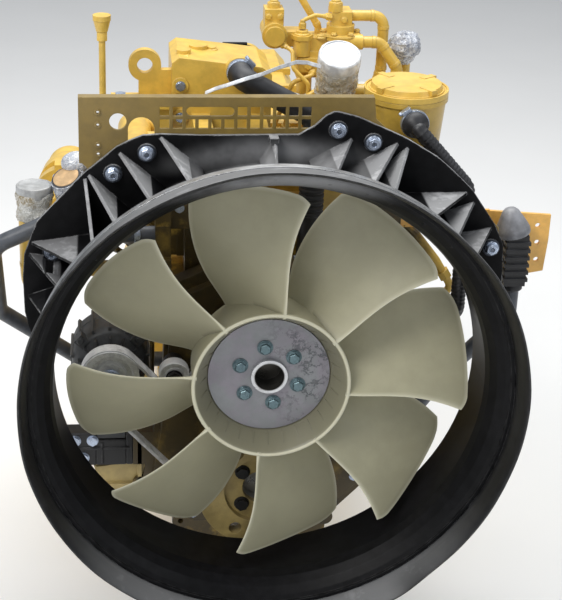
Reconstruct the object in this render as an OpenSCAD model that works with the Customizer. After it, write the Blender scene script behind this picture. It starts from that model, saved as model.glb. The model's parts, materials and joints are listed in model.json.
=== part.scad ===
// Industrial inline six-cylinder diesel engine, seen from its fan end.
// Millimetres. Crank axis along Y at X = 0, Z = 0; the flywheel housing's rear face is Y = 0.
// The fan end faces -Y, Z is up, the engine stands on its flat oil pan.

/* [Layout] */
// Distance from the flywheel housing's rear face to the front plane of the fan hub
hub_dist = 1010; // [1005:1:1030]
// Height of the fan axis above the crank axis
fan_z = 255; // [252:1:258]

/* [Fan] */
// Number of fan blades
blade_count = 8; // [6:1:9]
// Gap between the blade tips and the shroud's throat
tip_gap = 20; // [16:1:42]
// Radius of the front rim of the moulded hub
fan_hub_r = 127; // [124:1:130]
// Depth of the blades from front edge to rear edge
blade_depth = 88; // [80:1:90]
// Angle that a blade covers at its root
blade_root_span = 42; // [36:1:43]
// Angle that a blade covers at its tip
blade_tip_span = 32.5; // [27:0.5:34]
// Thickness of a blade
blade_t = 4; // [3:0.5:6]
// Angle of the first blade's front edge
blade_phase = 36; // [30:1:42]
// Depth of the steel clamp disc's face behind the hub rim
disc_depth = 43; // [40:1:46]
// Radius of the steel clamp disc
disc_r = 98; // [94:1:100]
// Radius of the fan bolt circle
fan_bolt_r = 50; // [46:1:56]

/* [Shroud] */
// Inner radius of the shroud's throat
throat_r = 342; // [338:1:346]
// How far the shroud's front collar stands outside the throat
collar_step = 38; // [35:1:40]
// How far the rubber seal's front edge stands outside the collar
seal_step = 14; // [10:1:18]
// Length of the collar that the seal grips
seal_grip = 24; // [20:1:25]
// Thickness of the shroud's flat mounting plate
plate_t = 6; // [5:0.5:6]
// Thickness of the shroud's gussets
gusset_t = 5; // [4:0.5:7]

/* [Guard] */
// Side of a square hole in the guard
guard_hole = 14.5; // [11:0.5:16]
// Pitch of the square holes
guard_pitch = 19.6; // [19.2:0.1:20]
// Number of hole columns
guard_cols = 12; // [8:1:12]

/* [Block] */
// Half width of the cylinder block
block_hw = 140; // [134:1:146]
// Height of the block's top face above the crank axis
deck_z = 330; // [326:1:334]
// Height of the cylinder head
head_h = 100; // [96:1:104]
// Half width of the oil pan at its flange
pan_hw = 160; // [156:1:162]
// Depth of the oil pan's floor below the crank axis
pan_z = 330; // [310:1:350]

/* [Crank train] */
// Radius of the crankshaft's main journals
crank_r = 42; // [40:0.5:44]
// Pitch radius of the crank pulley's belt
crank_belt_r = 95; // [88:1:98]
// Outer radius of the flywheel's ring gear
ring_gear_r = 180; // [176:1:184]
// Number of ring gear teeth
ring_gear_teeth = 113; // [100:1:126]
// Radius of the flywheel housing's bolt circle
bell_bolt_r = 214.3; // [213.5:0.1:215.5]
// Radius of the flywheel housing's rear bore
bell_r = 204.8; // [203:0.1:206]
// Depth of that bore, up to its inner shoulder
bell_depth = 24; // [16:1:26]

/* [Belt drive] */
// Pitch radius of the fan pulley's belt
fan_belt_r = 76; // [70:1:78]
// Pitch radius of the alternator pulley's belt
alt_belt_r = 47; // [44:1:49]
// Radius of the smooth idler pulley
idler_r = 26; // [24:1:28]
// Radius of the smooth tensioner pulley
tens_r = 36; // [33:1:38]
// Width of the flat ribbed belt
belt_w = 24; // [20:1:25]
// Thickness of the belt
belt_t = 5; // [4:0.5:5.5]

/* [Top of the engine] */
// Radius of the breather canister's lid
can_r = 68; // [64:1:70]
// Height of the breather canister's lid top
can_top = 688; // [682:1:696]
// Height of the dipstick cap's top
dip_top = 799; // [780:1:810]
// Outer radius of the front lifting eye
eye_r = 26; // [24:1:28]
// Radius of the lifting eyes' holes
eye_hole_r = 12.5; // [11:0.5:14]

/* [Hidden] */
$fn = 48;
hub_y = -hub_dist;
belt_y = -860;
block_y0 = -755;
block_y1 = -95;
gear_y0 = -790;
cover_y0 = -822;
head_z = deck_z + head_h;
web_y = hub_y + disc_depth + 6;
web_t = 9;
plate_y = hub_y + 80;
guard_y = plate_y + plate_t;
guard_t = 4;
belt_gap = 0.4;
run_fit = 0.05;
seal_fit = 0.3;
apart = 0.4;
fan_tip_r = throat_r - tip_gap;
collar_r = throat_r + collar_step;
seal_r = collar_r + seal_step;
// Throat radius for which the outlines of the shroud and the guard are written, and the throat's change from it.
outline_throat_r = 342;
lift = throat_r - outline_throat_r;
intake_z = deck_z + 16;
intake_top = intake_z + 82;
filter_x = -block_hw - 82;
alt_pos = [-252, fan_z - 49];
idler_pos = [-147, fan_z - 51];
alt_foot_x = 214;
tens_pos = [104, 125];
tens_pivot = [158, 74];
starter_pos = [210, 60];
can_pos = [226, -790];
tower_bolt_z = [468, 520, 572, 624, 676];
eye_x = -192;
eye_z = 705;
rear_eye_z = 520;
dip_pos = [-259, -810];
pulley_fn = 96;

yellow = [0.86, 0.66, 0.16];
black = [0.07, 0.07, 0.08];
steel = [0.62, 0.65, 0.68];
zinc = [0.72, 0.74, 0.78];
nylon = [0.53, 0.53, 0.43];
rubber = [0.11, 0.11, 0.12];
white = [0.92, 0.93, 0.94];
film = [0.7, 0.7, 0.66];

function unit(v) = v / norm(v);
function pt(r, a) = [r * cos(a), r * sin(a)];

// Moves a point of the shroud outward as its throat grows.
function off_throat(p) = p + unit(p) * lift;

// Moves the outer edges of the guard up and sideways as the throat grows.
function spread(p) = [p[0] + (p[0] > 300 ? lift : p[0] < -300 ? -lift : 0), p[1] + (p[1] > 300 ? lift : 0)];

// A cylinder along +Y from the height y0.
module ycyl(r, l, y0 = 0, r2 = -1) {
  translate([0, y0, 0])
    rotate([-90, 0, 0])
      cylinder(r1 = r, r2 = r2 < 0 ? r : r2, h = l);
}

// A profile of [radius, y] points turned round the Y axis.
module yturn(points) {
  rotate([-90, 0, 0])
    rotate_extrude()
      polygon(points);
}

// A profile in X and Z drawn out along +Y from y0.
module yprism(points, l, y0) {
  translate([0, y0 + l, 0])
    rotate([90, 0, 0])
      linear_extrude(height = l)
        polygon(points);
}

// Puts children on the fan axis, with Y = 0 at the hub's front rim.
module at_fan() {
  translate([0, hub_y, fan_z])
    children();
}

// Puts children on an axis parallel to the crank, at [x, z].
module at_axis(p) {
  translate([p[0], 0, p[1]])
    children();
}

// Copies children round the Y axis.
module around(count, r, phase = 0) {
  for (i = [0 : count - 1])
    rotate([0, -phase - i * 360 / count, 0])
      translate([r, 0, 0])
        children();
}

// A hex bolt lying along Y: head towards -Y, its bearing face at Y = 0, shank of length l.
module hexbolt(s, l, washer = 0) {
  wt = washer > 0 ? 2 : 0;
  translate([0, -wt, 0]) {
    rotate([90, 30, 0])
      cylinder(r = s * 0.92, h = s * 0.6, $fn = 6);
    rotate([90, 0, 0])
      cylinder(r = s * 1.02, h = 1.5, $fn = 24);
  }
  if (l > 0)
    rotate([-90, 0, 0])
      cylinder(r = s / 2, h = l, $fn = 24);
  if (washer > 0)
    rotate([90, 0, 0])
      cylinder(r = washer, h = wt, $fn = 32);
}

// A round bar from a to b.
module bar(a, b, r) {
  d = unit(b - a);
  s = abs(d[2]) > 0.9 ? [1, 0, 0] : [0, 0, 1];
  ex = unit(cross(s, d));
  ey = cross(d, ex);
  multmatrix([
    [ex[0], ey[0], d[0], a[0]],
    [ex[1], ey[1], d[1], a[1]],
    [ex[2], ey[2], d[2], a[2]],
    [0, 0, 0, 1]
  ])
    cylinder(r = r, h = norm(b - a));
}

// Angle that the route p turns through at corner i.
function turn_at(p, i) = acos(unit(p[i] - p[i - 1]) * unit(p[i + 1] - p[i]));

// Bend radius at corner i: rb, or more where a slight turn leaves too little room for the beads.
function bend_r(p, i, r, rb) = max(rb, r + 3.6 / tan(turn_at(p, i) / 2));

// How far the bend eats into the legs at corner i.
function trim(p, i, r, rb) =
  (i <= 0 || i >= len(p) - 1) ? 0 : bend_r(p, i, r, rb) * tan(turn_at(p, i) / 2);

// A round pipe through the points p: bends of radius rb, a narrow bead round each end of a bend.
module pipe(p, r, rb, bead = 0.8) {
  n = len(p) - 1;
  ro = r + bead;
  for (i = [0 : n - 1]) {
    d = unit(p[i + 1] - p[i]);
    a = p[i] + d * (trim(p, i, ro, rb) + (i > 0 ? 1.5 : 0));
    b = p[i + 1] - d * (trim(p, i + 1, ro, rb) + (i < n - 1 ? 1.5 : 0));
    bar(a, b, r);
    if (i > 0)
      bar(a - d * 4, a + d * 2, ro);
    if (i < n - 1)
      bar(b - d * 2, b + d * 4, ro);
  }
  for (i = [1 : n - 1]) {
    d1 = unit(p[i] - p[i - 1]);
    d2 = unit(p[i + 1] - p[i]);
    m = unit(d2 - d1 * (d1 * d2));
    rc = bend_r(p, i, ro, rb);
    c = p[i] - d1 * trim(p, i, ro, rb) + m * rc;
    ez = cross(-m, d1);
    multmatrix([
      [-m[0], d1[0], ez[0], c[0]],
      [-m[1], d1[1], ez[1], c[1]],
      [-m[2], d1[2], ez[2], c[2]],
      [0, 0, 0, 1]
    ])
      rotate_extrude(angle = turn_at(p, i))
        translate([rc, 0])
          circle(r = r);
  }
}

// Block, pan and housings.

module engine_block() {
  color(yellow)
    difference() {
      union() {
        translate([-block_hw, block_y0, -70])
          cube([block_hw * 2, block_y1 - block_y0, deck_z + 70]);
        yprism([[-pan_hw, -70], [pan_hw, -70], [pan_hw, 20], [block_hw, 60], [-block_hw, 60], [-pan_hw, 20]],
               block_y1 - block_y0, block_y0);
        translate([-block_hw - 12, block_y0, deck_z - 24])
          cube([block_hw * 2 + 24, block_y1 - block_y0, 24]);
        for (i = [0 : 6], s = [-1, 1])
          translate([s * (block_hw + 5) - 7, block_y0 + 4 + i * 108 - (i > 5 ? 9 : 0), 60])
            cube([14, 12, deck_z - 84]);
        translate([-pan_hw - 34, -736, -70])
          cube([40, 28, 26]);
        translate([block_hw - 4, -700, 96])
          cube([36, 150, 120]);
        translate([-block_hw - 34, -470, 20])
          cube([38, 130, 130]);
      }
      ycyl(crank_r + run_fit, block_y1 - block_y0 + 2, block_y0 - 1);
      for (i = [0 : 5], s = [-1, 1])
        translate([s * block_hw, block_y0 + 64 + i * 108, 262])
          rotate([0, 90, 0])
            cylinder(r = 22, h = 16, center = true);
      translate([-pan_hw - 20, -722, -44.5])
        cylinder(r = 5.25, h = 30, $fn = 32);
    }
}

module block_plugs() {
  color(steel)
    for (i = [0 : 5], s = [-1, 1])
      translate([s * (block_hw - 5.5), block_y0 + 64 + i * 108, 262])
        rotate([0, s * 90, 0])
          difference() {
            translate([0, 0, -2.5])
              cylinder(r = 21.95, h = 7);
            cylinder(r = 19, h = 6);
          }
}

module oil_pan() {
  color(yellow)
    difference() {
      union() {
        yprism([[-pan_hw + 14, -78], [pan_hw - 14, -78], [pan_hw - 14, -110], [pan_hw - 40, -pan_z + 18],
                [pan_hw - 58, -pan_z], [58 - pan_hw, -pan_z], [40 - pan_hw, -pan_z + 18], [14 - pan_hw, -110]],
               block_y1 - block_y0 - 12, block_y0 + 6);
        translate([-pan_hw, block_y0, -80])
          cube([pan_hw * 2, block_y1 - block_y0, 10]);
        for (i = [0 : 5], s = [-1, 1])
          translate([s * (pan_hw - 18) - 5, block_y0 + 70 + i * 104, -140])
            cube([10, 8, 62]);
        translate([0, -160, -pan_z + 42])
          ycyl(24, 62, 0);
      }
      translate([0, 0, -pan_z + 42])
        ycyl(7.05, 40, -135);
    }
}

gear_outline = [
  [-130, -130], [130, -130], [205, -50], [222, 130], [200, 305], [120, 372], [-70, 372], [-158, 330],
  [-164, 130], [-200, -50]
];

module gear_housing() {
  color(yellow)
    difference() {
      union() {
        yprism(gear_outline, block_y0 - gear_y0, gear_y0);
        for (p = gear_outline)
          at_axis(p)
            ycyl(15, block_y0 - gear_y0, gear_y0);
        translate([196, -790, 225])
          cube([36, 34, 50]);
        translate([-alt_foot_x, -790, -10])
          cube([60, 35, 64]);
        translate([192, -790, 280])
          cube([40, 34, 210]);
        translate([-176, -790, 310])
          cube([26, 34, 130]);
      }
      ycyl(62, 60, gear_y0 - 10);
      at_axis([0, fan_z])
        ycyl(36, 60, gear_y0 - 10);
      for (p = gear_outline)
        at_axis(p)
          ycyl(5, 60, gear_y0 - 10);
    }
}

// Corners of the front cover, and its bolts a little inside them.
cover_outline = [
  [-116, -112], [116, -112], [186, -40], [202, 125], [182, 292], [108, 352], [-64, 352], [-150, 314],
  [-158, 130], [-182, -40]
];

cover_bolts = [for (p = cover_outline) p * 0.94 + [0, 6]];

module front_cover() {
  color(yellow)
    difference() {
      union() {
        yprism(cover_outline, gear_y0 - cover_y0 - 10, cover_y0 + 10);
        ycyl(104, 10, cover_y0, 104);
        at_axis([0, fan_z])
          ycyl(82, 10, cover_y0);
        at_axis([-100, 150])
          ycyl(42, 10, cover_y0);
        at_axis([95, 165])
          ycyl(76, 10, cover_y0);
        at_axis(tens_pivot)
          ycyl(34, 10, cover_y0);
        for (a = [0 : 30 : 330])
          rotate([0, a, 0])
            translate([98, cover_y0 + 4, -3])
              cube([14, 10, 6]);
        translate([48, cover_y0 + 2, 336])
          cube([42, 30, 36]);
      }
      ycyl(crank_r + 1, 60, cover_y0 - 5);
      at_axis([0, fan_z])
        ycyl(36, 60, cover_y0 - 5);
      for (p = cover_bolts)
        at_axis(p)
          ycyl(4.1, 60, cover_y0 - 5);
    }
}

module engine_bolts() {
  color(zinc) {
    for (p = cover_bolts)
      translate([p[0], cover_y0 + 10, p[1]])
        hexbolt(8, 12);
    for (z = tower_bolt_z)
      translate([-136, -778, z])
        hexbolt(8, 6);
    translate([-231, -776, 656])
      rotate([-90, 0, 0])
        hexbolt(10, 10, 11);
    for (i = [0 : 8], s = [-1, 1])
      translate([s * (pan_hw - 6.5), block_y0 + 20 + i * 77.5, -80])
        rotate([90, 0, 0])
          hexbolt(5.5, 0);
    for (p = [[-314, 40], [-284, 40], [-300, 6]])
      translate([p[0], gear_y0, p[1]])
        hexbolt(10, 0);
    translate([0, -98, 42 - pan_z])
      rotate([0, 0, 180]) {
        hexbolt(14, 34);
        rotate([90, 0, 0])
          cylinder(r = 16, h = 2.5, $fn = 32);
      }
  }
}

module flywheel_housing() {
  color(yellow)
    difference() {
      union() {
        yturn([[60, -95], [200, -95], [bell_r + 21.2, -70], [bell_r + 21.2, 0], [bell_r, 0], [bell_r, -bell_depth],
               [bell_r - 4, -bell_depth], [bell_r - 4, -72], [60, -72]]);
        around(12, bell_bolt_r, 15)
          ycyl(13, 70, -70);
        at_axis(starter_pos)
          ycyl(58, 24, -95);
      }
      ycyl(62, 60, -120);
      ycyl(bell_r - 4, 80, -72);
      ycyl(bell_r, bell_depth + 10, -bell_depth);
      around(12, bell_bolt_r, 15)
        ycyl(5.25, 90, -80);
      at_axis(starter_pos)
        ycyl(38, 60, -110);
    }
}

module cylinder_head() {
  color(yellow)
    difference() {
      union() {
        translate([-125, block_y0 + 5, deck_z])
          cube([250, block_y1 - block_y0 - 10, head_h]);
        for (i = [0 : 5]) {
          translate([-137, -716 + i * 112, deck_z + 26])
            cube([16, 68, 68]);
          translate([120, -716 + i * 112, deck_z + 22])
            cube([12, 76, 70]);
        }
      }
      for (i = [0 : 5])
        translate([128, -660 + i * 104, head_z - 10])
          cylinder(r = 9, h = 12);
    }
}

module valve_cover() {
  color(yellow) {
    difference() {
      union() {
        translate([-112, -645, head_z])
          cube([224, 535, 12]);
        yprism([[-104, head_z + 12], [104, head_z + 12], [104, head_z + 96], [84, head_z + 118],
                [-84, head_z + 118], [-104, head_z + 96]], 515, -635);
        for (i = [0 : 3])
          translate([-100, -600 + i * 108, head_z + 112])
            cube([200, 14, 12]);
      }
      translate([0, -180, head_z + 60])
        cylinder(r = 24.5, h = 80);
    }
    for (i = [0 : 5], s = [-1, 1])
      translate([s * 103, -628 + i * 100, head_z + 10])
        cylinder(r = 9, h = 16);
  }
}

module oil_filler_cap() {
  color(black)
    translate([0, -180, head_z + 118]) {
      translate([0, 0, apart])
        cylinder(r = 34, h = 20);
      translate([0, 0, -40])
        cylinder(r = 24, h = 42);
      for (i = [0 : 5])
        rotate([0, 0, i * 60])
          translate([30, -4, 3])
            cube([9, 8, 15]);
      translate([-24, -5, 18])
        cube([48, 10, 12]);
    }
}

module coolant_tower() {
  color(yellow)
    difference() {
      union() {
        yprism([[-150, head_z], [10, head_z], [10, 694], [-6, 706], [-60, 712], [-138, 721], [-150, 712]],
               120, -775);
        for (z = tower_bolt_z)
          translate([-136, -778, z])
            ycyl(13, 12, 0);
        at_axis([-43, 703])
          ycyl(22, 14, -787);
        translate([-92, -781, 500])
          cube([84, 8, 60]);
        translate([-130, -740, 712])
          cylinder(r = 12, h = 14);
        translate([-104, -700, 710])
          cylinder(r = 15, h = 12);
        translate([-98, -781, 590])
          rotate([0, 24, 0])
            cube([96, 12, 12]);
      }
      at_axis([-43, 703])
        ycyl(14, 40, -790);
      for (z = tower_bolt_z)
        at_axis([-136, z])
          ycyl(4.1, 8, -780);
    }
}

module water_pump() {
  color(yellow)
    difference() {
      union() {
        at_axis([95, 165])
          ycyl(66, 14, cover_y0 - 14);
        at_axis([95, 165])
          ycyl(36, 6, cover_y0 - 18, 40);
        translate([62, cover_y0 - 16, 210])
          cube([34, 16, 100]);
      }
      at_axis([0, fan_z])
        ycyl(84, 60, cover_y0 - 40);
      at_axis(tens_pivot)
        ycyl(36, 60, cover_y0 - 40);
    }
}

module coolant_hose() {
  color(rubber) {
    pipe([[-43, -787, 703], [-43, -824, 703], [75, -824, 640], [75, -824, 450], [75, -806, 408], [75, -806, 372]],
         19, 31);
    for (i = [0 : 7])
      bar([75, -824, 462 + i * 19], [75, -824, 467 + i * 19], 20.6);
  }
}

// Crank train.

module crankshaft() {
  color(steel) {
    ycyl(crank_r, 780, -835);
    for (i = [0 : 6])
      ycyl(crank_r, 20, -740 + i * 104);
    ycyl(58, 22, -72);
    ycyl(30, 30, -862);
  }
}

module crank_pulley() {
  color(black)
    difference() {
      ycyl(crank_belt_r - belt_t / 2 - belt_gap, 45, -880);
      ycyl(30.4, 60, -890);
      around(4, 44, 45)
        ycyl(7, 70, -900);
    }
}

module crank_damper() {
  color(yellow)
    difference() {
      yturn([[30.4, -880], [100, -880], [107, -884], [107, -905], [62, -905], [62, -892], [30.4, -892]]);
      around(6, 84, 0)
        ycyl(11, 40, -915);
      around(4, 44, 45)
        ycyl(7, 70, -920);
    }
}

module crank_bolts() {
  color(zinc)
    around(4, 44, 45)
      translate([0, -892, 0])
        hexbolt(12, 50, 13);
}

function gear_point(i, n, ro, ri) =
  let (a = 360 * floor(i / 4) / n, k = i % 4, w = 360 / n)
  k == 0 ? pt(ri, a) : k == 1 ? pt(ro, a + w * 0.2) : k == 2 ? pt(ro, a + w * 0.5) : pt(ri, a + w * 0.7);

module flywheel() {
  color(steel)
    difference() {
      union() {
        yturn([[0, -50], [ring_gear_r - 22, -50], [ring_gear_r - 22, -30], [120, -30], [120, -36], [0, -36]]);
        yprism([for (i = [0 : ring_gear_teeth * 4 - 1]) gear_point(i, ring_gear_teeth, ring_gear_r, ring_gear_r - 7)],
               14, -48);
      }
      ycyl(20, 60, -60);
      around(8, 150, 10)
        ycyl(5.1, 60, -60);
    }
  color(zinc)
    around(8, 40, 0)
      translate([0, -36, 0])
        mirror([0, 1, 0])
          hexbolt(9, 0);
}

// Fan and its drive.

module fan_bearing() {
  color(yellow)
    difference() {
      union() {
        at_axis([0, fan_z])
          yturn([[12, -800], [35.5, -800], [35.5, -822], [80, -822], [80, -830], [44, -834], [38, -842],
                 [38, -846.5], [12, -846.5]]);
        at_axis([0, fan_z])
          for (i = [0 : 3])
            rotate([0, 45 + i * 90, 0])
              translate([30, -838, -4])
                cube([42, 12, 8]);
      }
      at_axis([0, fan_z])
        ycyl(12.5 + run_fit, 80, -860);
    }
}

module fan_shaft() {
  color(steel)
    at_axis([0, fan_z])
      ycyl(12.5, 78, -873);
}

module fan_pulley() {
  color(steel)
    at_axis([0, fan_z])
      difference() {
        ycyl(fan_belt_r - belt_t / 2 - belt_gap, 26, -873);
        ycyl(12.5, 60, -890);
        around(6, 58, 0)
          ycyl(7, 60, -890);
      }
}

module fan_spacer() {
  color(steel)
    at_axis([0, fan_z])
      difference() {
        union() {
          ycyl(49, 6, -879);
          ycyl(36, -873 - web_y - web_t, web_y + web_t);
          ycyl(61, 8, web_y + web_t);
          ycyl(29.5, web_y + web_t + 12 - (hub_y + disc_depth - 8), hub_y + disc_depth - 8);
        }
        ycyl(23.5, 40, hub_y + disc_depth - 9);
        around(6, fan_bolt_r, -21)
          ycyl(5.1, 20, web_y + web_t - 1);
      }
}

// Angle covered by a blade at radius r.
function blade_span(r) =
  blade_root_span - (blade_root_span - blade_tip_span) * pow(max(0, (r - 175) / (fan_tip_r - 175)), 1.5);

blade_nr = 7;
blade_ns = 7;
blade_r0 = fan_hub_r - 7;

// A point of the blade: i along the radius, j from front edge to rear edge, side 0 front or 1 back.
function blade_point(i, j, side) =
  let (
    u = i / blade_nr,
    s = j / blade_ns,
    corner = fan_tip_r * (1 - 0.032 * pow(max(0, (s - 0.8) / 0.2), 2.5) - 0.018 * pow(1 - s, 8)),
    r = blade_r0 + (corner - blade_r0) * u,
    bow = 3 * sin(180 * u),
    a = blade_phase + bow * (1 - s) + s * blade_span(r),
    y = blade_depth * (s + 0.10 * sin(180 * s)) + side * blade_t
  )
  [r * cos(a), y, r * sin(a)];

function grid_id(i, j, side) = side * (blade_nr + 1) * (blade_ns + 1) + i * (blade_ns + 1) + j;

module blade() {
  nr = blade_nr;
  ns = blade_ns;
  pts = [for (side = [0, 1], i = [0 : nr], j = [0 : ns]) blade_point(i, j, side)];
  front = [for (i = [0 : nr - 1], j = [0 : ns - 1], k = [0, 1])
    k == 0 ? [grid_id(i, j, 0), grid_id(i, j + 1, 0), grid_id(i + 1, j + 1, 0)]
           : [grid_id(i, j, 0), grid_id(i + 1, j + 1, 0), grid_id(i + 1, j, 0)]];
  back = [for (i = [0 : nr - 1], j = [0 : ns - 1], k = [0, 1])
    k == 0 ? [grid_id(i, j, 1), grid_id(i + 1, j + 1, 1), grid_id(i, j + 1, 1)]
           : [grid_id(i, j, 1), grid_id(i + 1, j, 1), grid_id(i + 1, j + 1, 1)]];
  edge_s = [for (i = [0 : nr - 1], e = [0, ns], k = [0, 1])
    let (a = grid_id(i, e, 0), b = grid_id(i + 1, e, 0), c = grid_id(i + 1, e, 1), d = grid_id(i, e, 1))
    e == 0 ? (k == 0 ? [a, b, c] : [a, c, d]) : (k == 0 ? [a, c, b] : [a, d, c])];
  edge_r = [for (j = [0 : ns - 1], e = [0, nr], k = [0, 1])
    let (a = grid_id(e, j, 0), b = grid_id(e, j + 1, 0), c = grid_id(e, j + 1, 1), d = grid_id(e, j, 1))
    e == 0 ? (k == 0 ? [a, c, b] : [a, d, c]) : (k == 0 ? [a, b, c] : [a, c, d])];
  polyhedron(points = pts, faces = concat(front, back, edge_s, edge_r), convexity = 4);
}

module fan() {
  color(nylon)
    at_fan()
      difference() {
        union() {
          yturn([[fan_hub_r - 4, 0], [fan_hub_r, 1.5], [fan_hub_r, 8], [fan_hub_r - 3, 12], [fan_hub_r - 4, 94],
                 [fan_hub_r - 8, 94], [fan_hub_r - 9, disc_depth + 16], [61, disc_depth + 15],
                 [30, disc_depth + 15], [30, disc_depth + 6], [disc_r + 1, disc_depth + 6],
                 [disc_r + 2, disc_depth - 2], [fan_hub_r - 8, 4]]);
          for (k = [0 : blade_count - 1])
            rotate([0, -k * 360 / blade_count, 0])
              blade();
          for (k = [0 : 27])
            rotate([0, -k * 360 / 28, 0])
              linear_extrude(height = 2.5, center = true)
                polygon([[fan_hub_r - 7, 5], [fan_hub_r - 10.5, 8], [disc_r + 2, disc_depth - 9],
                         [disc_r + 3, disc_depth]]);
        }
        around(6, fan_bolt_r, -21)
          ycyl(5.6, 40, disc_depth);
      }
}

module fan_clamp_disc() {
  color(steel)
    at_fan()
      difference() {
        ycyl(disc_r, 6, disc_depth);
        ycyl(29.55, 20, disc_depth - 5);
        around(6, fan_bolt_r, -21)
          ycyl(5.6, 20, disc_depth - 5);
      }
}

module fan_bolts() {
  color(zinc)
    at_fan()
      around(6, fan_bolt_r, -21)
        translate([0, disc_depth, 0])
          hexbolt(10, 22, 13);
}

// Shroud and guard.

plate_outline = [
  [-376, 60], [-385, 100], [-386, 161], [-383, 197], [-373, 224], [-362, 252], [-295, 325], [-283, 336],
  [-239, 373], [-222, 382], [-200, 391], [-174, 393], [-114, 391], [37, 392], [61, 406], [78, 422],
  [90, 428], [98, 428], [128, 420], [193, 391], [207, 384], [255, 355], [282, 332], [315, 300],
  [320, 293], [355, 243], [372, 208], [376, 150], [374, 60]
];

plate_edge = concat([for (p = plate_outline) off_throat(p)], [[0, 0]]);

// Gussets: the end on the plate's edge, the angle where it meets the ring, whether it is a wide web.
gussets = [
  [[-290, 322], 139], [[-284, 326], 130], [[-237, 361], 120], [[-175, 386], 110], [[0, 386], 92],
  [[118, 386], 79], [[190, 379], 70], [[206, 372], 64], [[306, 297], 54], [[318, 281], 45],
  [[350, 237], 38], [[-370, 214], 142], [[-376, 196], 150], [[-378, 124], 158], [[-372, 70], 170],
  [[368, 100], 15]
];

module gusset(o, a) {
  q = pt(collar_r - 14, a);
  d = q - o;
  l = norm(d);
  translate([o[0], 80 + 0.5, o[1]])
    rotate([0, -atan2(d[1], d[0]), 0])
      translate([0, 0, gusset_t / 2])
        mirror([0, 1, 0])
          linear_extrude(height = gusset_t, center = true)
            polygon([[0, 0], [l + 18, 0], [l + 18, 100], [l, 122], [l - 6, 120]]);
}

shroud_bolt_pos = [
  for (p = [[-194, 364], [-245, 331], [97, 400], [152, 380], [352, 203], [-340, 203]]) off_throat(p)
];

module fan_shroud() {
  color(black)
    at_fan()
      difference() {
        union() {
          yturn([[throat_r, 92], [throat_r, 0], [throat_r + 4, -16], [throat_r + 13, -31], [throat_r + 24, -42],
                 [collar_r - 7, -46], [collar_r - 7, -50], [collar_r, -50], [collar_r, -14],
                 [collar_r - 9, -8], [throat_r + 11, 8], [throat_r + 6, 24], [throat_r + 5, 92]]);
          difference() {
            yprism(plate_edge, plate_t, 80);
            ycyl(throat_r + 2, 60, 60);
          }
          difference() {
            ycyl(throat_r + 30, plate_t, 80);
            ycyl(throat_r + 2, 60, 60);
          }
          difference() {
            for (g = gussets)
              gusset(off_throat(g[0]), g[1]);
            ycyl(throat_r + 3, 200, -60);
          }
          for (b = shroud_bolt_pos)
            at_axis(b)
              ycyl(14, 8, 78);
          translate([-9, 62, throat_r + 42])
            cube([14, 20, 8]);
        }
        for (b = shroud_bolt_pos)
          at_axis(b) {
            ycyl(6.2, 40, 60);
            ycyl(15.5, 60, 18);
          }
      }
}

module shroud_seal() {
  color(rubber)
    at_fan()
      yturn([[collar_r + seal_fit, seal_grip - 50], [collar_r + 4, seal_grip - 50], [collar_r + 4, -48],
             [seal_r - 5, -74], [seal_r, -90], [seal_r - 2, -93], [seal_r - 5, -91], [seal_r - 9, -75],
             [collar_r - 1, -53], [collar_r + seal_fit, -50]]);
}

module seal_band() {
  color(steel)
    at_fan() {
      difference() {
        ycyl(collar_r + 5.2, 12, -42);
        ycyl(collar_r + 4, 14, -43);
      }
      rotate([0, 228, 0])
        translate([-10, -43, collar_r + 4.6]) {
          cube([20, 14, 9]);
          translate([-7, 7, 5])
            rotate([0, 90, 0])
              cylinder(r = 3.5, h = 40, $fn = 24);
        }
    }
}

module shroud_bolts() {
  color(zinc)
    at_fan()
      for (b = shroud_bolt_pos)
        translate([b[0], 78, b[1]])
          hexbolt(11, 22, 14);
}

guard_stud_z = [for (z = [360, 374, 406, 426]) z + lift];

guard_outline = [
  [-296, 140], [-330, 140], [-380, 190], [-376, 214], [-262, 316], [-296, 349], [-296, 449], [152, 449],
  [156, 415], [204, 372], [364, 234], [364, 170], [200, 170], [200, 140]
];

module front_guard() {
  x0 = guard_outline[0][0];
  y0 = guard_y - hub_y;
  low_row = 407.2 + lift;
  color(yellow)
    at_fan()
      difference() {
        union() {
          yprism([for (p = guard_outline) spread(p)], guard_t, y0);
          translate([x0, y0, 445 + lift])
            cube([448, 16, 4]);
          translate([x0, y0, 345 + lift])
            cube([4, 16, 104]);
          for (z = guard_stud_z)
            translate([-267, y0 - 2, z])
              ycyl(4.5, 4, 0);
        }
        ycyl(throat_r + 8, 60, 60);
        for (i = [0 : guard_cols - 1], z = [low_row, low_row + guard_pitch])
          if (z == low_row || i < 2 || i > 5)
            translate([-167 + i * guard_pitch - guard_hole / 2, 60, z - guard_hole / 2])
              cube([guard_hole, 60, guard_hole]);
        translate([-127, 60, low_row + guard_pitch - guard_hole / 2])
          cube([58, 60, guard_hole]);
        for (x = [-127, -69])
          at_axis([x, low_row + guard_pitch])
            ycyl(guard_hole / 2, 60, 60);
        at_axis([-202, 398 + lift])
          ycyl(20, 60, 60);
        translate([-222, 60, 330 + lift])
          cube([40, 60, 68]);
        at_axis([-237, 411 + lift])
          ycyl(13, 60, 60);
        for (b = shroud_bolt_pos)
          at_axis(b)
            ycyl(6.2, 60, 60);
        for (z = guard_stud_z)
          at_axis([-267, z])
            ycyl(2.4, 60, 60);
      }
}

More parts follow.
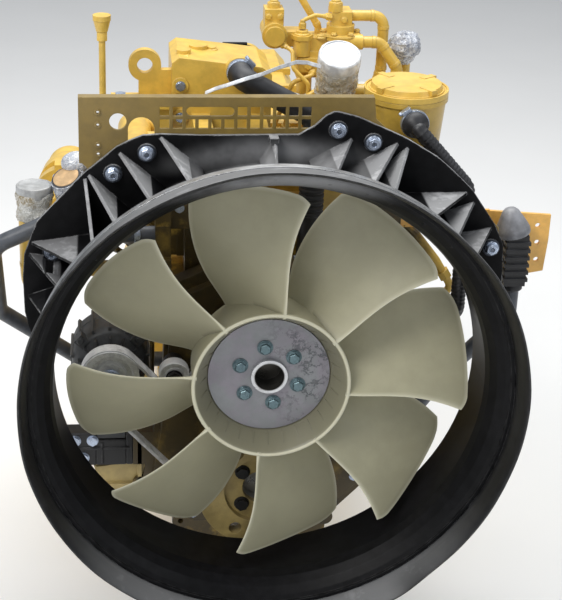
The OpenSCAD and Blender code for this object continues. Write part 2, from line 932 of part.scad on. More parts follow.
module guard_arms() {
  y0 = guard_y + guard_t;
  left_x = -366 - lift;
  color(black) {
    for (x = [-118, -30])
      translate([x, 0, 606 + lift])
        difference() {
          union() {
            translate([0, y0, 18])
              cube([30, -775 - y0, 6]);
            translate([0, y0, 2])
              cube([30, 5, 20]);
            translate([0, -783, 0])
              cube([30, 8, 22]);
          }
          translate([15, 0, 10])
            ycyl(3, 400, -1000);
        }
    translate([334 + lift, y0, 438])
      cube([6, gear_y0 - y0, 28]);
    translate([left_x, y0, 400])
      cube([6, 6, 60]);
    translate([left_x, y0, 360])
      cube([6, -800 - y0, 46]);
    translate([left_x, -806, 360])
      cube([-150 - left_x, 6, 26]);
    translate([-176, -806, 360])
      cube([26, gear_y0 + 806, 26]);
  }
}

// Accessories on the belt.

module alternator() {
  color([0.3, 0.31, 0.32])
    at_axis(alt_pos)
      difference() {
        union() {
          yturn([[0, -838], [30, -838], [58, -826], [64, -816], [64, -742], [56, -730], [0, -730]]);
          for (a = [20 : 40 : 340])
            rotate([0, a, 0])
              translate([60, -812, -3])
                cube([7, 60, 6]);
          translate([-24, gear_y0, 40 - alt_pos[1]])
            cube([48, 34, alt_pos[1] - 90]);
        }
        ycyl(10 + run_fit, 60, -850);
        around(8, 42, 0)
          ycyl(6, 20, -850);
      }
  color(black)
    difference() {
      translate([-330, gear_y0, -10])
        cube([330 - alt_foot_x, 35, 64]);
      translate([alt_pos[0] - 26, gear_y0 - 5, 40])
        cube([52, 50, 20]);
    }
}

module alternator_pulley() {
  color(steel)
    at_axis(alt_pos) {
      difference() {
        ycyl(alt_belt_r - belt_t / 2 - belt_gap, 29, -874);
        ycyl(alt_belt_r - 11, 10, -880);
      }
      ycyl(26, 8, -872);
      ycyl(10, 50, -850);
      translate([0, -872, 0])
        hexbolt(16, 10);
    }
}

module smooth_pulley(r) {
  yturn([[10, -850], [r - 6, -850], [r - 5, -848], [r, -848], [r, -872], [r - 5, -872], [r - 6, -868],
         [16, -868], [16, -871], [10, -871]]);
}

module idler_pulley() {
  color(steel)
    at_axis(idler_pos)
      smooth_pulley(idler_r - belt_gap);
}

module tensioner_body() {
  color(black)
    at_axis(tens_pivot)
      difference() {
        ycyl(32, 20, cover_y0 - 20);
        ycyl(12 + run_fit, 30, cover_y0 - 26);
      }
  color(zinc) {
    at_axis(idler_pos) {
      ycyl(9.95, 52, -874);
      translate([0, -874, 0])
        hexbolt(14, 8);
    }
  }
  color(yellow)
    at_axis(idler_pos)
      ycyl(16, 33, -845);
}

module tensioner_arm() {
  d = tens_pos - tens_pivot;
  color(steel)
    at_axis(tens_pivot) {
      ycyl(28, 5, cover_y0 - 20 - apart - 5);
      ycyl(12, 22, cover_y0 - 25);
      rotate([0, -atan2(d[1], d[0]), 0]) {
        translate([0, cover_y0 - 20 - apart - 5, -13])
          cube([norm(d), 5, 26]);
        translate([norm(d), 0, 0]) {
          ycyl(13, 6, cover_y0 - 20 - apart - 5);
          ycyl(9.95, 30, -874);
          translate([0, -874, 0])
            hexbolt(14, 8);
        }
      }
    }
}

module tensioner_pulley() {
  color(black)
    at_axis(tens_pos)
      difference() {
        smooth_pulley(tens_r - belt_gap);
        around(6, 22, 0)
          ycyl(3.5, 60, -890);
      }
}

// Belt stations: centre, pitch radius, turning sense (1 inside the belt, -1 outside).
stations = [
  [[0, 0], crank_belt_r, 1],
  [tens_pos, tens_r + belt_t / 2, -1],
  [[0, fan_z], fan_belt_r, 1],
  [idler_pos, idler_r + belt_t / 2, -1],
  [alt_pos, alt_belt_r, 1]
];

// Heading of the straight run from station i to the next one.
function heading(i) =
  let (a = stations[i % 5], b = stations[(i + 1) % 5], d = b[0] - a[0])
  atan2(d[1], d[0]) - asin((b[2] * b[1] - a[2] * a[1]) / norm(d));

function turn(i) =
  let (d = heading(i) - heading((i + 4) % 5), m = ((d % 360) + 360) % 360)
  stations[i][2] > 0 ? m : m - 360;

belt_steps = 24;

function belt_line(off) = [
  for (i = [0 : 4], k = [0 : belt_steps])
    let (s = stations[i], h = heading((i + 4) % 5) + turn(i) * k / belt_steps)
    s[0] - (s[2] * s[1] - off) * [-sin(h), cos(h)]
];

module drive_belt() {
  color(rubber)
    difference() {
      yprism(belt_line(-belt_t / 2), belt_w - 2, belt_y - belt_w / 2 + 1);
      yprism(belt_line(belt_t / 2), belt_w, belt_y - belt_w / 2);
    }
}

// Breather.

module breather_canister() {
  color(yellow)
    translate([can_pos[0], can_pos[1], 0])
      difference() {
        union() {
          translate([0, 0, 540])
            cylinder(r1 = can_r - 14, r2 = can_r - 3, h = can_top - 540 - 26);
          translate([0, 0, 520])
            cylinder(r1 = 30, r2 = can_r - 14, h = 20);
          translate([0, 0, can_top - 26])
            cylinder(r = can_r, h = 8);
          translate([0, 0, 490])
            cylinder(r = 14, h = 40);
          translate([0, 0, 643])
            rotate([90, 0, 0])
              cylinder(r = 17, h = 68);
        }
        translate([0, 0, can_top - 40])
          cylinder(r = can_r - 11.6, h = 60);
      }
  color(yellow) {
    translate([100, -775, head_z + 6])
      cube([40, 40, 600 - head_z]);
    translate([100, -749, head_z])
      cube([25, 14, 20]);
    translate([126, -800, 566])
      cube([50, 40, 40]);
  }
}

module breather_lid() {
  color(yellow)
    translate([can_pos[0], can_pos[1], can_top - 18 + apart]) {
      difference() {
        cylinder(r = can_r, h = 9);
        translate([0, 0, 7])
          difference() {
            cylinder(r = can_r - 3, h = 3);
            translate([0, 0, -1])
              cylinder(r = can_r - 7, h = 5);
          }
      }
      cylinder(r1 = can_r - 7, r2 = can_r - 12, h = 17);
      translate([0, 0, -16])
        cylinder(r = can_r - 12, h = 20);
      for (i = [0 : 3])
        rotate([0, 0, 35 + i * 90])
          translate([can_r - 34, -6, 8])
            cube([28, 12, 10]);
    }
}

module breather_hose() {
  x = can_pos[0] + 2;
  color(rubber) {
    pipe([[x, -858.4, 643], [x, -890, 643], [x + 88, -890, 545], [x + 88, -890, 330], [x + 88, -773, 250],
          [232.4, -773, 250]], 12, 22);
    bar([x, -858.4, 643], [x, -876, 643], 21);
    bar([248, -773, 250], [232.4, -773, 250], 15);
    for (i = [0 : 9])
      bar([x + 88, -890, 350 + i * 18], [x + 88, -890, 354 + i * 18], 12.8);
  }
}

// Lifting eyes and dipstick.

module lifting_eyes() {
  color(yellow) {
    difference() {
      union() {
        translate([eye_x, -763, eye_z])
          ycyl(eye_r, 14, 0);
        translate([eye_x - 10, -763, 656])
          cube([52, 14, 42]);
        translate([-246, -800, 644])
          cube([96, 52, 12]);
        translate([-176, -790, 440])
          cube([26, 40, 206]);
      }
      translate([eye_x, -770, eye_z])
        ycyl(eye_hole_r, 30, 0);
      translate([-231, -776, 640])
        cylinder(r = 5.1, h = 30);
    }
    difference() {
      union() {
        translate([-14, -95, 405])
          cube([90, 14, 100]);
        translate([31, -95, rear_eye_z - 4])
          ycyl(34, 14, 0);
      }
      translate([31, -100, rear_eye_z])
        ycyl(eye_hole_r + 4, 30, 0);
    }
    translate([-14, -100, 405])
      cube([90, 10, 20]);
  }
}

module dipstick_tube() {
  x = dip_pos[0];
  y = dip_pos[1];
  color(yellow)
    difference() {
      union() {
        pipe([[x, y, dip_top - 26], [x, y, 420], [x + 23, -722, 370], [-pan_hw - 20, -722, 330],
              [-pan_hw - 20, -722, -44.2]], 5.2, 26);
        translate([x, y, dip_top - 40])
          cylinder(r = 8, h = 14);
        translate([x, y - 4, 646])
          cube([14, 10, 8]);
      }
      translate([x, y, 560])
        cylinder(r = 3.4, h = 400, $fn = 32);
    }
}

module dipstick() {
  color(yellow)
    translate([dip_pos[0], dip_pos[1], 0]) {
      translate([0, 0, dip_top - 26 + apart])
        cylinder(r1 = 9, r2 = 13.5, h = 18);
      translate([0, 0, dip_top - 8])
        cylinder(r = 14, h = 8);
      translate([0, 0, 570])
        cylinder(r = 3.35, h = dip_top - 20 - 570, $fn = 32);
    }
}

// Left side.

module exhaust_manifold() {
  color(yellow) {
    translate([-196, 0, deck_z + 60])
      ycyl(33, 560, -700);
    translate([-196, 0, deck_z + 64])
      ycyl(27, 10, -705.4);
    for (i = [0 : 5]) {
      bar([-196, -682 + i * 112, deck_z + 60], [-145, -682 + i * 112, deck_z + 60], 23);
      translate([-149, -716 + i * 112, deck_z + 28])
        cube([12, 68, 64]);
    }
    bar([-196, -400, deck_z + 60], [-248, -400, deck_z + 60], 26);
    translate([-254, -436, deck_z + 24])
      cube([10, 72, 72]);
  }
}

turbo_pos = [-322, -400, deck_z + 42];

module turbocharger() {
  color(yellow)
    difference() {
      union() {
        translate(turbo_pos) {
          ycyl(58, 52, -26, 52);
          ycyl(38, 52, -74);
          ycyl(70, 40, -112, 64);
          ycyl(42, 46, -152);
          ycyl(42, 60, 24);
          translate([-24, -112, 0])
            cube([48, 40, 74]);
          translate([-14, -20, -76])
            cube([28, 30, 40]);
        }
        translate([turbo_pos[0] + 20, -430, turbo_pos[2] - 48])
          cube([-254 - turbo_pos[0] - 20, 60, 56]);
      }
      translate(turbo_pos) {
        ycyl(33.6, 35, -160);
        ycyl(34, 60, 40);
        ycyl(9 + run_fit, 200, -130);
      }
    }
}

module turbo_rotor() {
  color(steel)
    translate(turbo_pos) {
      ycyl(9, 180, -130);
      ycyl(12, 22, -149, 32);
      ycyl(32, 22, 42, 14);
    }
}

// Open end and axis of the port left of the guard.
left_port = [-316, -762, 508];
left_port_axis = unit([-24, -24, 62]);

module port_caps() {
  color(white) {
    translate([127, -709.8, 700.2])
      rotate([25.09, 0, 0])
        difference() {
          translate([0, 0, -9])
            cylinder(r = 35, h = 22);
          translate([0, 0, -10])
            cylinder(r = 32.3, h = 10);
        }
    translate([-372, -760, 486])
      cylinder(r = 29, h = 18);
    bar(left_port, left_port + left_port_axis * 12, 25);
    translate([266, -560, 662])
      cylinder(r1 = 20, r2 = 27, h = 20);
    translate([266, -560, 682])
      cylinder(r1 = 27, r2 = 14, h = 24);
  }
}

// Right side.

module intake_manifold() {
  color(yellow) {
    translate([132, -716, intake_z])
      cube([58, 600, intake_top - intake_z]);
    for (i = [0 : 3])
      translate([138, -498 + i * 90, intake_top - 4])
        cube([46, 40, 8]);
  }
}

module intake_pipe() {
  color(yellow) {
    pipe([[127, -709.8, 700.2], [127, -676, 628], [162, -640, 540], [162, -640, intake_top + 3]], 32, 46);
    translate([126, -676, intake_top])
      cube([64, 72, 10]);
    pipe([[140, -676, 634], [246, -676, 634], [246, -676, 470], [212, -706, 400], [212, -756, 400]], 14, 24);
    for (i = [0 : 4])
      bar([246, -676, 520 + i * 16], [246, -676, 525 + i * 16], 17);
  }
}

module air_pipe() {
  color(yellow) {
    pipe([[164, -570, 737], [222, -570, 737], [222, -570, 640], [186, -560, 520], [176, -540, 470],
          [176, -540, intake_top]], 9.5, 20);
    pipe([[182, -600, 699], [212, -600, 699], [244, -604, 655], [244, -604, 560], [178, -592, 490],
          [178, -592, intake_top]], 10, 20);
    for (i = [0 : 4])
      bar([244, -604, 580 + i * 12], [244, -604, 585 + i * 12], 12);
    pipe([[266, -560, 662], [266, -560, 440], [236, -545, intake_z + 42], [190, -545, intake_z + 42]], 9, 24);
    pipe([[-196, -705.4, deck_z + 68], [-196, -736, deck_z + 68], [-292, -738, 446], left_port], 20, 24);
    z = turbo_pos[2];
    pipe([[-322, -552, z], [-322, -600, z], [-372, -690, z - 42], [-372, -760, z - 52], [-372, -760, 486]], 27, 38);
    bar([-322, -552, z], [-322, -566, z], 40);
  }
}

module fuel_head() {
  color(yellow)
    difference() {
      union() {
        translate([70, -606, 638])
          cube([86, 56, 46]);
        translate([92, -602, 676])
          cube([36, 44, 30]);
        translate([78, -600, 676])
          cylinder(r = 15, h = 34);
        translate([78, -600, 704])
          cylinder(r = 19, h = 8, $fn = 6);
        translate([146, -580, 630])
          cylinder(r = 26, h = 72);
        translate([146, -580, 702])
          cylinder(r = 34, h = 9);
        translate([146, -580, 711])
          cylinder(r = 24, h = 14);
        translate([128, -592, 722])
          cube([36, 44, 26]);
        translate([136, -582, 748])
          cylinder(r = 12, h = 14);
        for (a = [0 : 60 : 300])
          translate([146 + 29 * cos(a), -580 + 29 * sin(a), 710])
            cylinder(r = 4, h = 5, $fn = 24);
        bar([150, -600, 699], [182, -600, 699], 13);
        translate([30, -612, 713])
          ycyl(20, 56, 0);
        translate([14, -600, 722])
          cube([32, 34, 32]);
        translate([30, -583, 754])
          cylinder(r = 11, h = 8);
        translate([26, -600, 690])
          cube([50, 36, 26]);
        translate([84, -604, 612])
          cylinder(r = 13, h = 30);
        translate([72, -616, 650])
          cube([34, 12, 24]);
        translate([128, -618, 660])
          ycyl(14, 20, 0);
        pipe([[32, -576, 750], [32, -572, 784], [72, -568, 776], [110, -566, 716], [110, -566, 690]], 6, 14);
        translate([113, -580, head_z])
          cube([12, 24, 644 - head_z]);
      }
      translate([30, -620, 713])
        ycyl(8.3, 60, 0);
    }
}

module priming_knob() {
  color(yellow)
    translate([30, -612, 713]) {
      ycyl(17, 10, -10 - apart);
      ycyl(8.2, 34, -2);
      ycyl(21.5, 4, -4 - apart);
    }
}

module fuel_filter() {
  color(white)
    translate([232, -500, 0]) {
      translate([0, 0, 446])
        cylinder(r = 42, h = 114);
      translate([0, 0, 434])
        cylinder(r1 = 26, r2 = 42, h = 12);
    }
  color(yellow) {
    translate([192, -540, 560])
      cube([80, 80, 26]);
    translate([113, -512, 562])
      cube([90, 24, 20]);
    translate([113, -508, head_z])
      cube([12, 20, 572 - head_z]);
  }
}

module fuel_pump() {
  color(yellow) {
    translate([226, 0, 156])
      ycyl(42, 150, -712);
    translate([176, -700, 104])
      cube([50, 120, 104]);
    translate([214, -640, 190])
      cube([26, 40, 40]);
    at_axis([206, 140])
      ycyl(53, 43, block_y0);
  }
}

fuel_line_end = [-520, -430, -350, -270, -200, -140];
rail_z = deck_z - 14;

module fuel_lines() {
  color(steel) {
    translate([210, 0, rail_z])
      ycyl(13, 300, -470);
    for (i = [0 : 5])
      pipe([[214, -400 + i * 40, rail_z], [234, -400 + i * 40, rail_z], [234, -400 + i * 40, rail_z + 130],
            [120, fuel_line_end[i], head_z + 40], [104, fuel_line_end[i], head_z + 40]], 3.2, 9, 0.5);
    pipe([[227, -620, 230], [227, -620, rail_z], [210, -560, rail_z], [210, -468, rail_z]], 3.2, 12, 0.5);
    for (y = [-420, -260])
      translate([block_hw + 12, y, deck_z - 23])
        cube([190 - block_hw, 14, 18]);
  }
}

module oil_filter() {
  color(white) {
    translate([filter_x, -405, -46])
      cylinder(r = 47, h = 150);
    translate([filter_x, -405, -56])
      cylinder(r1 = 34, r2 = 47, h = 10);
  }
  color(yellow) {
    translate([filter_x - 44, -446, 104])
      cube([92, 82, 30]);
    translate([filter_x + 22, -466, 24])
      cube([26, 122, 110]);
  }
}

module starter_motor() {
  color(black) {
    at_axis(starter_pos) {
      ycyl(49, 180, -300);
      ycyl(37.5, 30, -122);
      ycyl(54, 8, -103);
    }
    at_axis([244, 128])
      ycyl(27, 110, -250);
    translate([214, -240, 80])
      cube([40, 80, 30]);
  }
}

module side_bracket() {
  color(yellow)
    difference() {
      union() {
        translate([232, gear_y0, 436])
          cube([150, 6, 30]);
        yprism([[360, 466], [488, 456], [488, 410], [484, 354], [445, 347], [436, 362], [434, 430], [360, 436]],
               6, gear_y0);
      }
      for (p = [[467, 437], [468.6, 406.5], [470, 375]])
        at_axis(p)
          ycyl(4.3, 40, -800);
    }
}

module side_hoses() {
  color(rubber) {
    pipe([[420, -830, 354], [420, -830, 290], [330, -760, 140], [250, -740, 0], [pan_hw, -740, 0]], 14, 34);
    pipe([[-176, -773, 420], [-226, -773, 420], [-330, -806, 464], [-440, -806, 414], [-440, -700, 250],
          [-300, -600, 100], [-block_hw, -600, 100]], 14, 34);
    translate([402, -850, 352])
      cube([36, 40, 92]);
    for (i = [0 : 3])
      translate([399, -854, 362 + i * 18])
        cube([42, 46, 7]);
    translate([406, -812, 372])
      cube([26, gear_y0 + 812, 40]);
    translate([415, -830, 440])
      rotate([0, -12, 0]) {
        cylinder(r = 28, h = 13);
        translate([0, 0, 13])
          cylinder(r1 = 28, r2 = 13, h = 30);
      }
  }
}

// Output.

engine_block();
block_plugs();
oil_pan();
gear_housing();
front_cover();
engine_bolts();
flywheel_housing();
cylinder_head();
valve_cover();
oil_filler_cap();
coolant_tower();
water_pump();
coolant_hose();
crankshaft();
crank_pulley();
crank_damper();
crank_bolts();
flywheel();
fan_bearing();
fan_shaft();
fan_pulley();
fan_spacer();
fan();
fan_clamp_disc();
fan_bolts();
fan_shroud();
shroud_seal();
seal_band();
shroud_bolts();
front_guard();
guard_arms();
alternator();
alternator_pulley();
idler_pulley();
tensioner_body();
tensioner_arm();
tensioner_pulley();
drive_belt();
breather_canister();
breather_lid();
breather_hose();
lifting_eyes();
dipstick_tube();
dipstick();
exhaust_manifold();
turbocharger();
turbo_rotor();
intake_manifold();
intake_pipe();
port_caps();
air_pipe();
fuel_head();
priming_knob();
fuel_filter();
fuel_pump();
fuel_lines();
oil_filter();
starter_motor();
side_bracket();
side_hoses();
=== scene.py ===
import json
import math

import bmesh
import bpy
from bpy.props import FloatProperty, FloatVectorProperty, PointerProperty
from mathutils import Matrix, Vector, noise as lattice


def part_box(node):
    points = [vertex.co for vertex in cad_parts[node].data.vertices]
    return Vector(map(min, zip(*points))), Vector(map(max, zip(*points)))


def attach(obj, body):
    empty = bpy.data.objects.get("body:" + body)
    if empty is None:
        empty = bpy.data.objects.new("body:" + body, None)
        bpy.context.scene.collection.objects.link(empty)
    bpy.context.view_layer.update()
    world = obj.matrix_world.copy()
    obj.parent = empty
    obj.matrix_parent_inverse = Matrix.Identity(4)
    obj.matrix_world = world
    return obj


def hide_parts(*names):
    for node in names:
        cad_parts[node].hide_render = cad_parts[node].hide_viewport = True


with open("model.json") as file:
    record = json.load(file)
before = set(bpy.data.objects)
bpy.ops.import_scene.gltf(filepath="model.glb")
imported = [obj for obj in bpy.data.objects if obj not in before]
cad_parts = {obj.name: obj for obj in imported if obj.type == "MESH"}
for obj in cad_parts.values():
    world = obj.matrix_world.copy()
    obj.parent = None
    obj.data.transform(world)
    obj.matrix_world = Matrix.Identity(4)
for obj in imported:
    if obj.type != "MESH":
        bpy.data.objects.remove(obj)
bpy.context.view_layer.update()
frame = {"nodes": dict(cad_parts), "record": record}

bl_info = {
    "name": "Diesel engine with fan and shroud",
    "version": (1, 0, 0),
    "blender": (4, 5, 0),
    "location": "3D View > Sidebar > Engine",
    "description": "Finishes and visible detail for the packed diesel engine",
    "category": "Object",
}

MM = 0.001
NODE_SLOT = {part["node"]: part["material_slot"] for part in frame["record"]["subparts"]}
JOINTS = {joint["name"]: joint for joint in frame["record"]["behaviour"]["joints"]}
FINISHES = {}

# Ways along the engine: the fan looks towards -Y, and Z is up
FORWARD = Vector((0, -1, 0))
UP = Vector((0, 0, 1))


def axle(joint):
    """Where an axle that runs along Y lies, as (x, z) in mm."""
    x, _, z = JOINTS[joint]["pos_m"]
    return round(x / MM, 3), round(z / MM, 3)


CRANK = axle("crank_spin")
FAN = axle("fan_spin")
ALTERNATOR = axle("alternator_spin")
IDLER = axle("idler_spin")
TENSIONER = axle("tensioner_spin")


# Node trees

FLOAT = "NodeSocketFloat"
VECTOR = "NodeSocketVector"


def add_node(tree, kind, **settings):
    node = tree.nodes.new(kind)
    for name, value in settings.items():
        setattr(node, name, value)
    return node


def feed(tree, socket, value):
    """Links a socket, or sets it to a plain value."""
    if isinstance(value, bpy.types.NodeSocket):
        tree.links.new(value, socket)
    else:
        socket.default_value = value


def math_node(tree, operation, first, second=0.0, clamp=False):
    node = add_node(tree, "ShaderNodeMath", operation=operation, use_clamp=clamp)
    feed(tree, node.inputs[0], first)
    feed(tree, node.inputs[1], second)
    return node.outputs[0]


def times(tree, first, second, clamp=False):
    return math_node(tree, "MULTIPLY", first, second, clamp)


def plus(tree, first, second, clamp=False):
    return math_node(tree, "ADD", first, second, clamp)


def minus(tree, first, second):
    return math_node(tree, "SUBTRACT", first, second)


def ramp(tree, value, low, high):
    """A smooth step of value from low to high, or down again if low is the higher one."""
    node = add_node(tree, "ShaderNodeMapRange", interpolation_type="SMOOTHSTEP")
    feed(tree, node.inputs["Value"], value)
    feed(tree, node.inputs["From Min"], low)
    feed(tree, node.inputs["From Max"], high)
    return node.outputs["Result"]


def mix_colour(tree, factor, first, second):
    """Mixes two colours, each an RGB triple or a socket."""
    node = add_node(tree, "ShaderNodeMix", data_type="RGBA")
    feed(tree, node.inputs[0], factor)
    for socket, colour in ((node.inputs[6], first), (node.inputs[7], second)):
        feed(tree, socket, colour if isinstance(colour, bpy.types.NodeSocket) else (*colour, 1.0))
    return node.outputs[2]


def layer(tree, below, mask, share, colour):
    """Lays a colour over another where a mask is, up to a share."""
    return mix_colour(tree, times(tree, mask, share), below, colour)


def place(tree):
    """Object coordinates in metres, which are the part's own for every piece."""
    return add_node(tree, "ShaderNodeTexCoord").outputs["Object"]


def split_axes(tree, vector):
    """The X, Y and Z of a vector, by name."""
    node = add_node(tree, "ShaderNodeSeparateXYZ")
    feed(tree, node.inputs[0], vector)
    return node.outputs


def noise(tree, vector, scale, detail=4.0, roughness=0.6):
    node = add_node(tree, "ShaderNodeTexNoise")
    feed(tree, node.inputs["Vector"], vector)
    feed(tree, node.inputs["Scale"], scale)
    node.inputs["Detail"].default_value = detail
    node.inputs["Roughness"].default_value = roughness
    return node.outputs["Fac"]


# Effects that several finishes share

def new_group(name, inputs, outputs):
    """An empty shader node group: its tree, the sockets given to it, and the sockets that it puts out."""
    tree = bpy.data.node_groups.new(name, "ShaderNodeTree")
    for label, default in inputs.items():
        socket = tree.interface.new_socket(label, in_out="INPUT", socket_type=FLOAT)
        socket.default_value = default
    for label, kind in outputs.items():
        tree.interface.new_socket(label, in_out="OUTPUT", socket_type=kind)
    given = tree.nodes.new("NodeGroupInput").outputs
    return tree, given, tree.nodes.new("NodeGroupOutput").inputs


def use_group(tree, name, values):
    """Places a node group in a tree with its own values, and returns what it puts out."""
    node = tree.nodes.new("ShaderNodeGroup")
    node.node_tree = bpy.data.node_groups[name]
    for label, value in values.items():
        feed(tree, node.inputs[label], value)
    return node.outputs


def build_edge_wear():
    """Worn edges: where a rounded normal leaves the true one, broken up by noise."""
    tree, given, result = new_group(
        "Edge wear", {"Width": 0.002, "Break up": 90.0}, {"Mask": FLOAT, "Soft normal": VECTOR})
    bevel = add_node(tree, "ShaderNodeBevel", samples=4)
    feed(tree, bevel.inputs["Radius"], given["Width"])
    likeness = add_node(tree, "ShaderNodeVectorMath", operation="DOT_PRODUCT")
    feed(tree, likeness.inputs[0], bevel.outputs[0])
    feed(tree, likeness.inputs[1], add_node(tree, "ShaderNodeNewGeometry").outputs["Normal"])
    edge = ramp(tree, likeness.outputs["Value"], 0.985, 0.80)
    patches = ramp(tree, noise(tree, place(tree), given["Break up"], 5.0, 0.7), 0.38, 0.62)
    feed(tree, result["Mask"], times(tree, edge, patches, True))
    feed(tree, result["Soft normal"], bevel.outputs[0])


def build_settled_dust():
    """Dust on faces that look up, and grime in broad patches."""
    tree, given, result = new_group(
        "Settled dust",
        {"Scale": 14.0, "Upward": 0.7, "All over": 0.25, "Steep": 0.15, "Flat": 0.95, "Even": 0.0},
        {"Dust": FLOAT, "Grime": FLOAT})
    facing = split_axes(tree, add_node(tree, "ShaderNodeNewGeometry").outputs["Normal"])
    up = ramp(tree, facing["Z"], given["Steep"], given["Flat"])
    coords = place(tree)
    fine = ramp(tree, noise(tree, coords, given["Scale"], 8.0, 0.68), 0.32, 0.68)
    broad = noise(tree, coords, times(tree, given["Scale"], 0.31), 3.0, 0.5)
    spread = math_node(tree, "MAXIMUM", fine, given["Even"])
    lying = times(tree, times(tree, up, given["Upward"]), spread)
    thin = times(tree, ramp(tree, broad, 0.40, 0.72), given["All over"])
    feed(tree, result["Dust"], plus(tree, lying, thin, True))
    feed(tree, result["Grime"], times(tree, ramp(tree, broad, 0.62, 0.36), fine))


def build_cast_skin():
    """Orange peel of paint over a sand casting."""
    tree, given, result = new_group(
        "Cast skin", {"Scale": 420.0, "Lumps": 46.0}, {"Height": FLOAT, "Tone": FLOAT})
    coords = place(tree)
    peel = noise(tree, coords, given["Scale"], 3.0, 0.55)
    lumps = noise(tree, coords, given["Lumps"], 4.0, 0.6)
    feed(tree, result["Height"], plus(tree, times(tree, peel, 0.35), times(tree, lumps, 0.65)))
    feed(tree, result["Tone"], ramp(tree, lumps, 0.30, 0.72))


def build_tool_marks():
    """Fine turning and handling marks of machined metal, drawn out along Y."""
    tree, given, result = new_group(
        "Tool marks", {"Scale": 60.0, "Stretch": 9.0}, {"Height": FLOAT, "Streak": FLOAT})
    shape = add_node(tree, "ShaderNodeCombineXYZ")
    for axis in ("X", "Z"):
        feed(tree, shape.inputs[axis], 1.0)
    feed(tree, shape.inputs["Y"], given["Stretch"])
    scaled = add_node(tree, "ShaderNodeVectorMath", operation="MULTIPLY")
    feed(tree, scaled.inputs[0], place(tree))
    feed(tree, scaled.inputs[1], shape.outputs[0])
    lines = noise(tree, scaled.outputs[0], given["Scale"], 6.0, 0.75)
    feed(tree, result["Height"], lines)
    feed(tree, result["Streak"], ramp(tree, lines, 0.35, 0.65))


def build_tide_marks():
    """Dark rims of dried-up stains, thicker towards +X."""
    tree, given, result = new_group("Tide marks", {"Scale": 34.0, "Side": 0.0}, {"Mask": FLOAT})
    coords = place(tree)
    side = ramp(tree, minus(tree, split_axes(tree, coords)["X"], given["Side"]), -0.06, 0.05)
    field = noise(tree, coords, given["Scale"], 6.0, 0.7)
    rim = ramp(tree, math_node(tree, "ABSOLUTE", minus(tree, field, 0.5)), 0.045, 0.004)
    broken = ramp(tree, noise(tree, coords, 22.0, 3.0, 0.6), 0.38, 0.56)
    blot = ramp(tree, noise(tree, coords, 70.0, 5.0, 0.75), 0.56, 0.70)
    both = math_node(tree, "MAXIMUM", times(tree, rim, broken), times(tree, blot, 0.7))
    feed(tree, result["Mask"], times(tree, both, side, True))


def build_fan_shade():
    """Painted shade on what stands behind the fan and its shroud: full below the guard, gone above it."""
    tree, given, result = new_group("Painted fan shade", {"Low": 0.50, "High": 0.64}, {"Mask": FLOAT})
    coords = place(tree)
    at = split_axes(tree, coords)
    below = ramp(tree, at["Z"], given["High"], given["Low"])
    front = ramp(tree, at["Y"], -0.60, -0.70)
    inside = ramp(tree, math_node(tree, "ABSOLUTE", at["X"]), 0.30, 0.26)
    patches = ramp(tree, noise(tree, coords, 17.0, 5.0, 0.65), 0.25, 0.50)
    reach = times(tree, times(tree, below, front), patches)
    feed(tree, result["Mask"], times(tree, reach, inside))


def from_fan_axle(tree, coords):
    """How far a place is from the fan's axle, and how high above it, in metres."""
    at = split_axes(tree, coords)
    rise = minus(tree, at["Z"], FAN[1] * MM)
    squares = plus(tree, times(tree, at["X"], at["X"]), times(tree, rise, rise))
    return math_node(tree, "SQRT", squares), rise


def build_beyond_radius():
    """What lies further than a radius from the fan's axle."""
    tree, given, result = new_group("Beyond radius", {"Radius": THROAT_R * MM}, {"Outside": FLOAT})
    reach, _ = from_fan_axle(tree, place(tree))
    feed(tree, result["Outside"], ramp(tree, minus(tree, reach, given["Radius"]), -0.001, 0.002))


def build_shroud_dust_and_sheen():
    """Where the shroud is made pale: dust and painted reflection on its upper part, and a painted highlight,
    strongest where its plate meets its ring.
    """
    tree, given, result = new_group(
        "Shroud dust and sheen", {"Reach": CORNER_HIGHLIGHT_REACH * MM}, {"Upper sheen": FLOAT, "Corner highlight": FLOAT})
    coords = place(tree)
    reach, rise = from_fan_axle(tree, coords)
    feed(tree, result["Upper sheen"], ramp(tree, rise, 0.12, 0.29))
    near = ramp(tree, minus(tree, given["Reach"], reach), 0.0, 0.05)
    near = math_node(tree, "POWER", near, 1.8)
    cloudy = ramp(tree, noise(tree, coords, 9.0, 4.0, 0.6), 0.12, 0.60)
    high = ramp(tree, rise, 0.32, 0.375)
    feed(tree, result["Corner highlight"], times(tree, times(tree, near, cloudy), high))


def build_film_folds():
    """Creases of crumpled film, and the patches where it lies tight and looks clear."""
    tree, given, result = new_group("Film folds", {"Scale": 60.0}, {"Crease": FLOAT, "Clear": FLOAT})
    coords = place(tree)
    creases = []
    for share, width in ((1.0, 0.045), (2.3, 0.06)):
        field = noise(tree, coords, times(tree, given["Scale"], share), 3.0, 0.6)
        creases.append(ramp(tree, math_node(tree, "ABSOLUTE", minus(tree, field, 0.5)), width, 0.0))
    both = math_node(tree, "MAXIMUM", creases[0], times(tree, creases[1], 0.6))
    feed(tree, result["Crease"], both)
    feed(tree, result["Clear"], ramp(tree, noise(tree, coords, 26.0, 5.0, 0.7), 0.42, 0.60))


# Kinds of finish

YELLOW_DUST = (0.44, 0.40, 0.30)
# Near-black of the painted shade behind the fan
SHADE_BLACK = (0.010, 0.008, 0.006)
VIOLET_HAZE = (0.22, 0.20, 0.24)
FOLD_WHITE = (0.92, 0.93, 0.93)


def new_material(name):
    """A material with only its Principled shader, kept under its name; returns its tree and that shader."""
    made = bpy.data.materials.new(name + "_finish")
    FINISHES[name] = made
    made.use_nodes = True
    tree = made.node_tree
    tree.nodes.clear()
    out = tree.nodes.new("ShaderNodeOutputMaterial")
    shader = tree.nodes.new("ShaderNodeBsdfPrincipled")
    tree.links.new(shader.outputs[0], out.inputs[0])
    return tree, shader


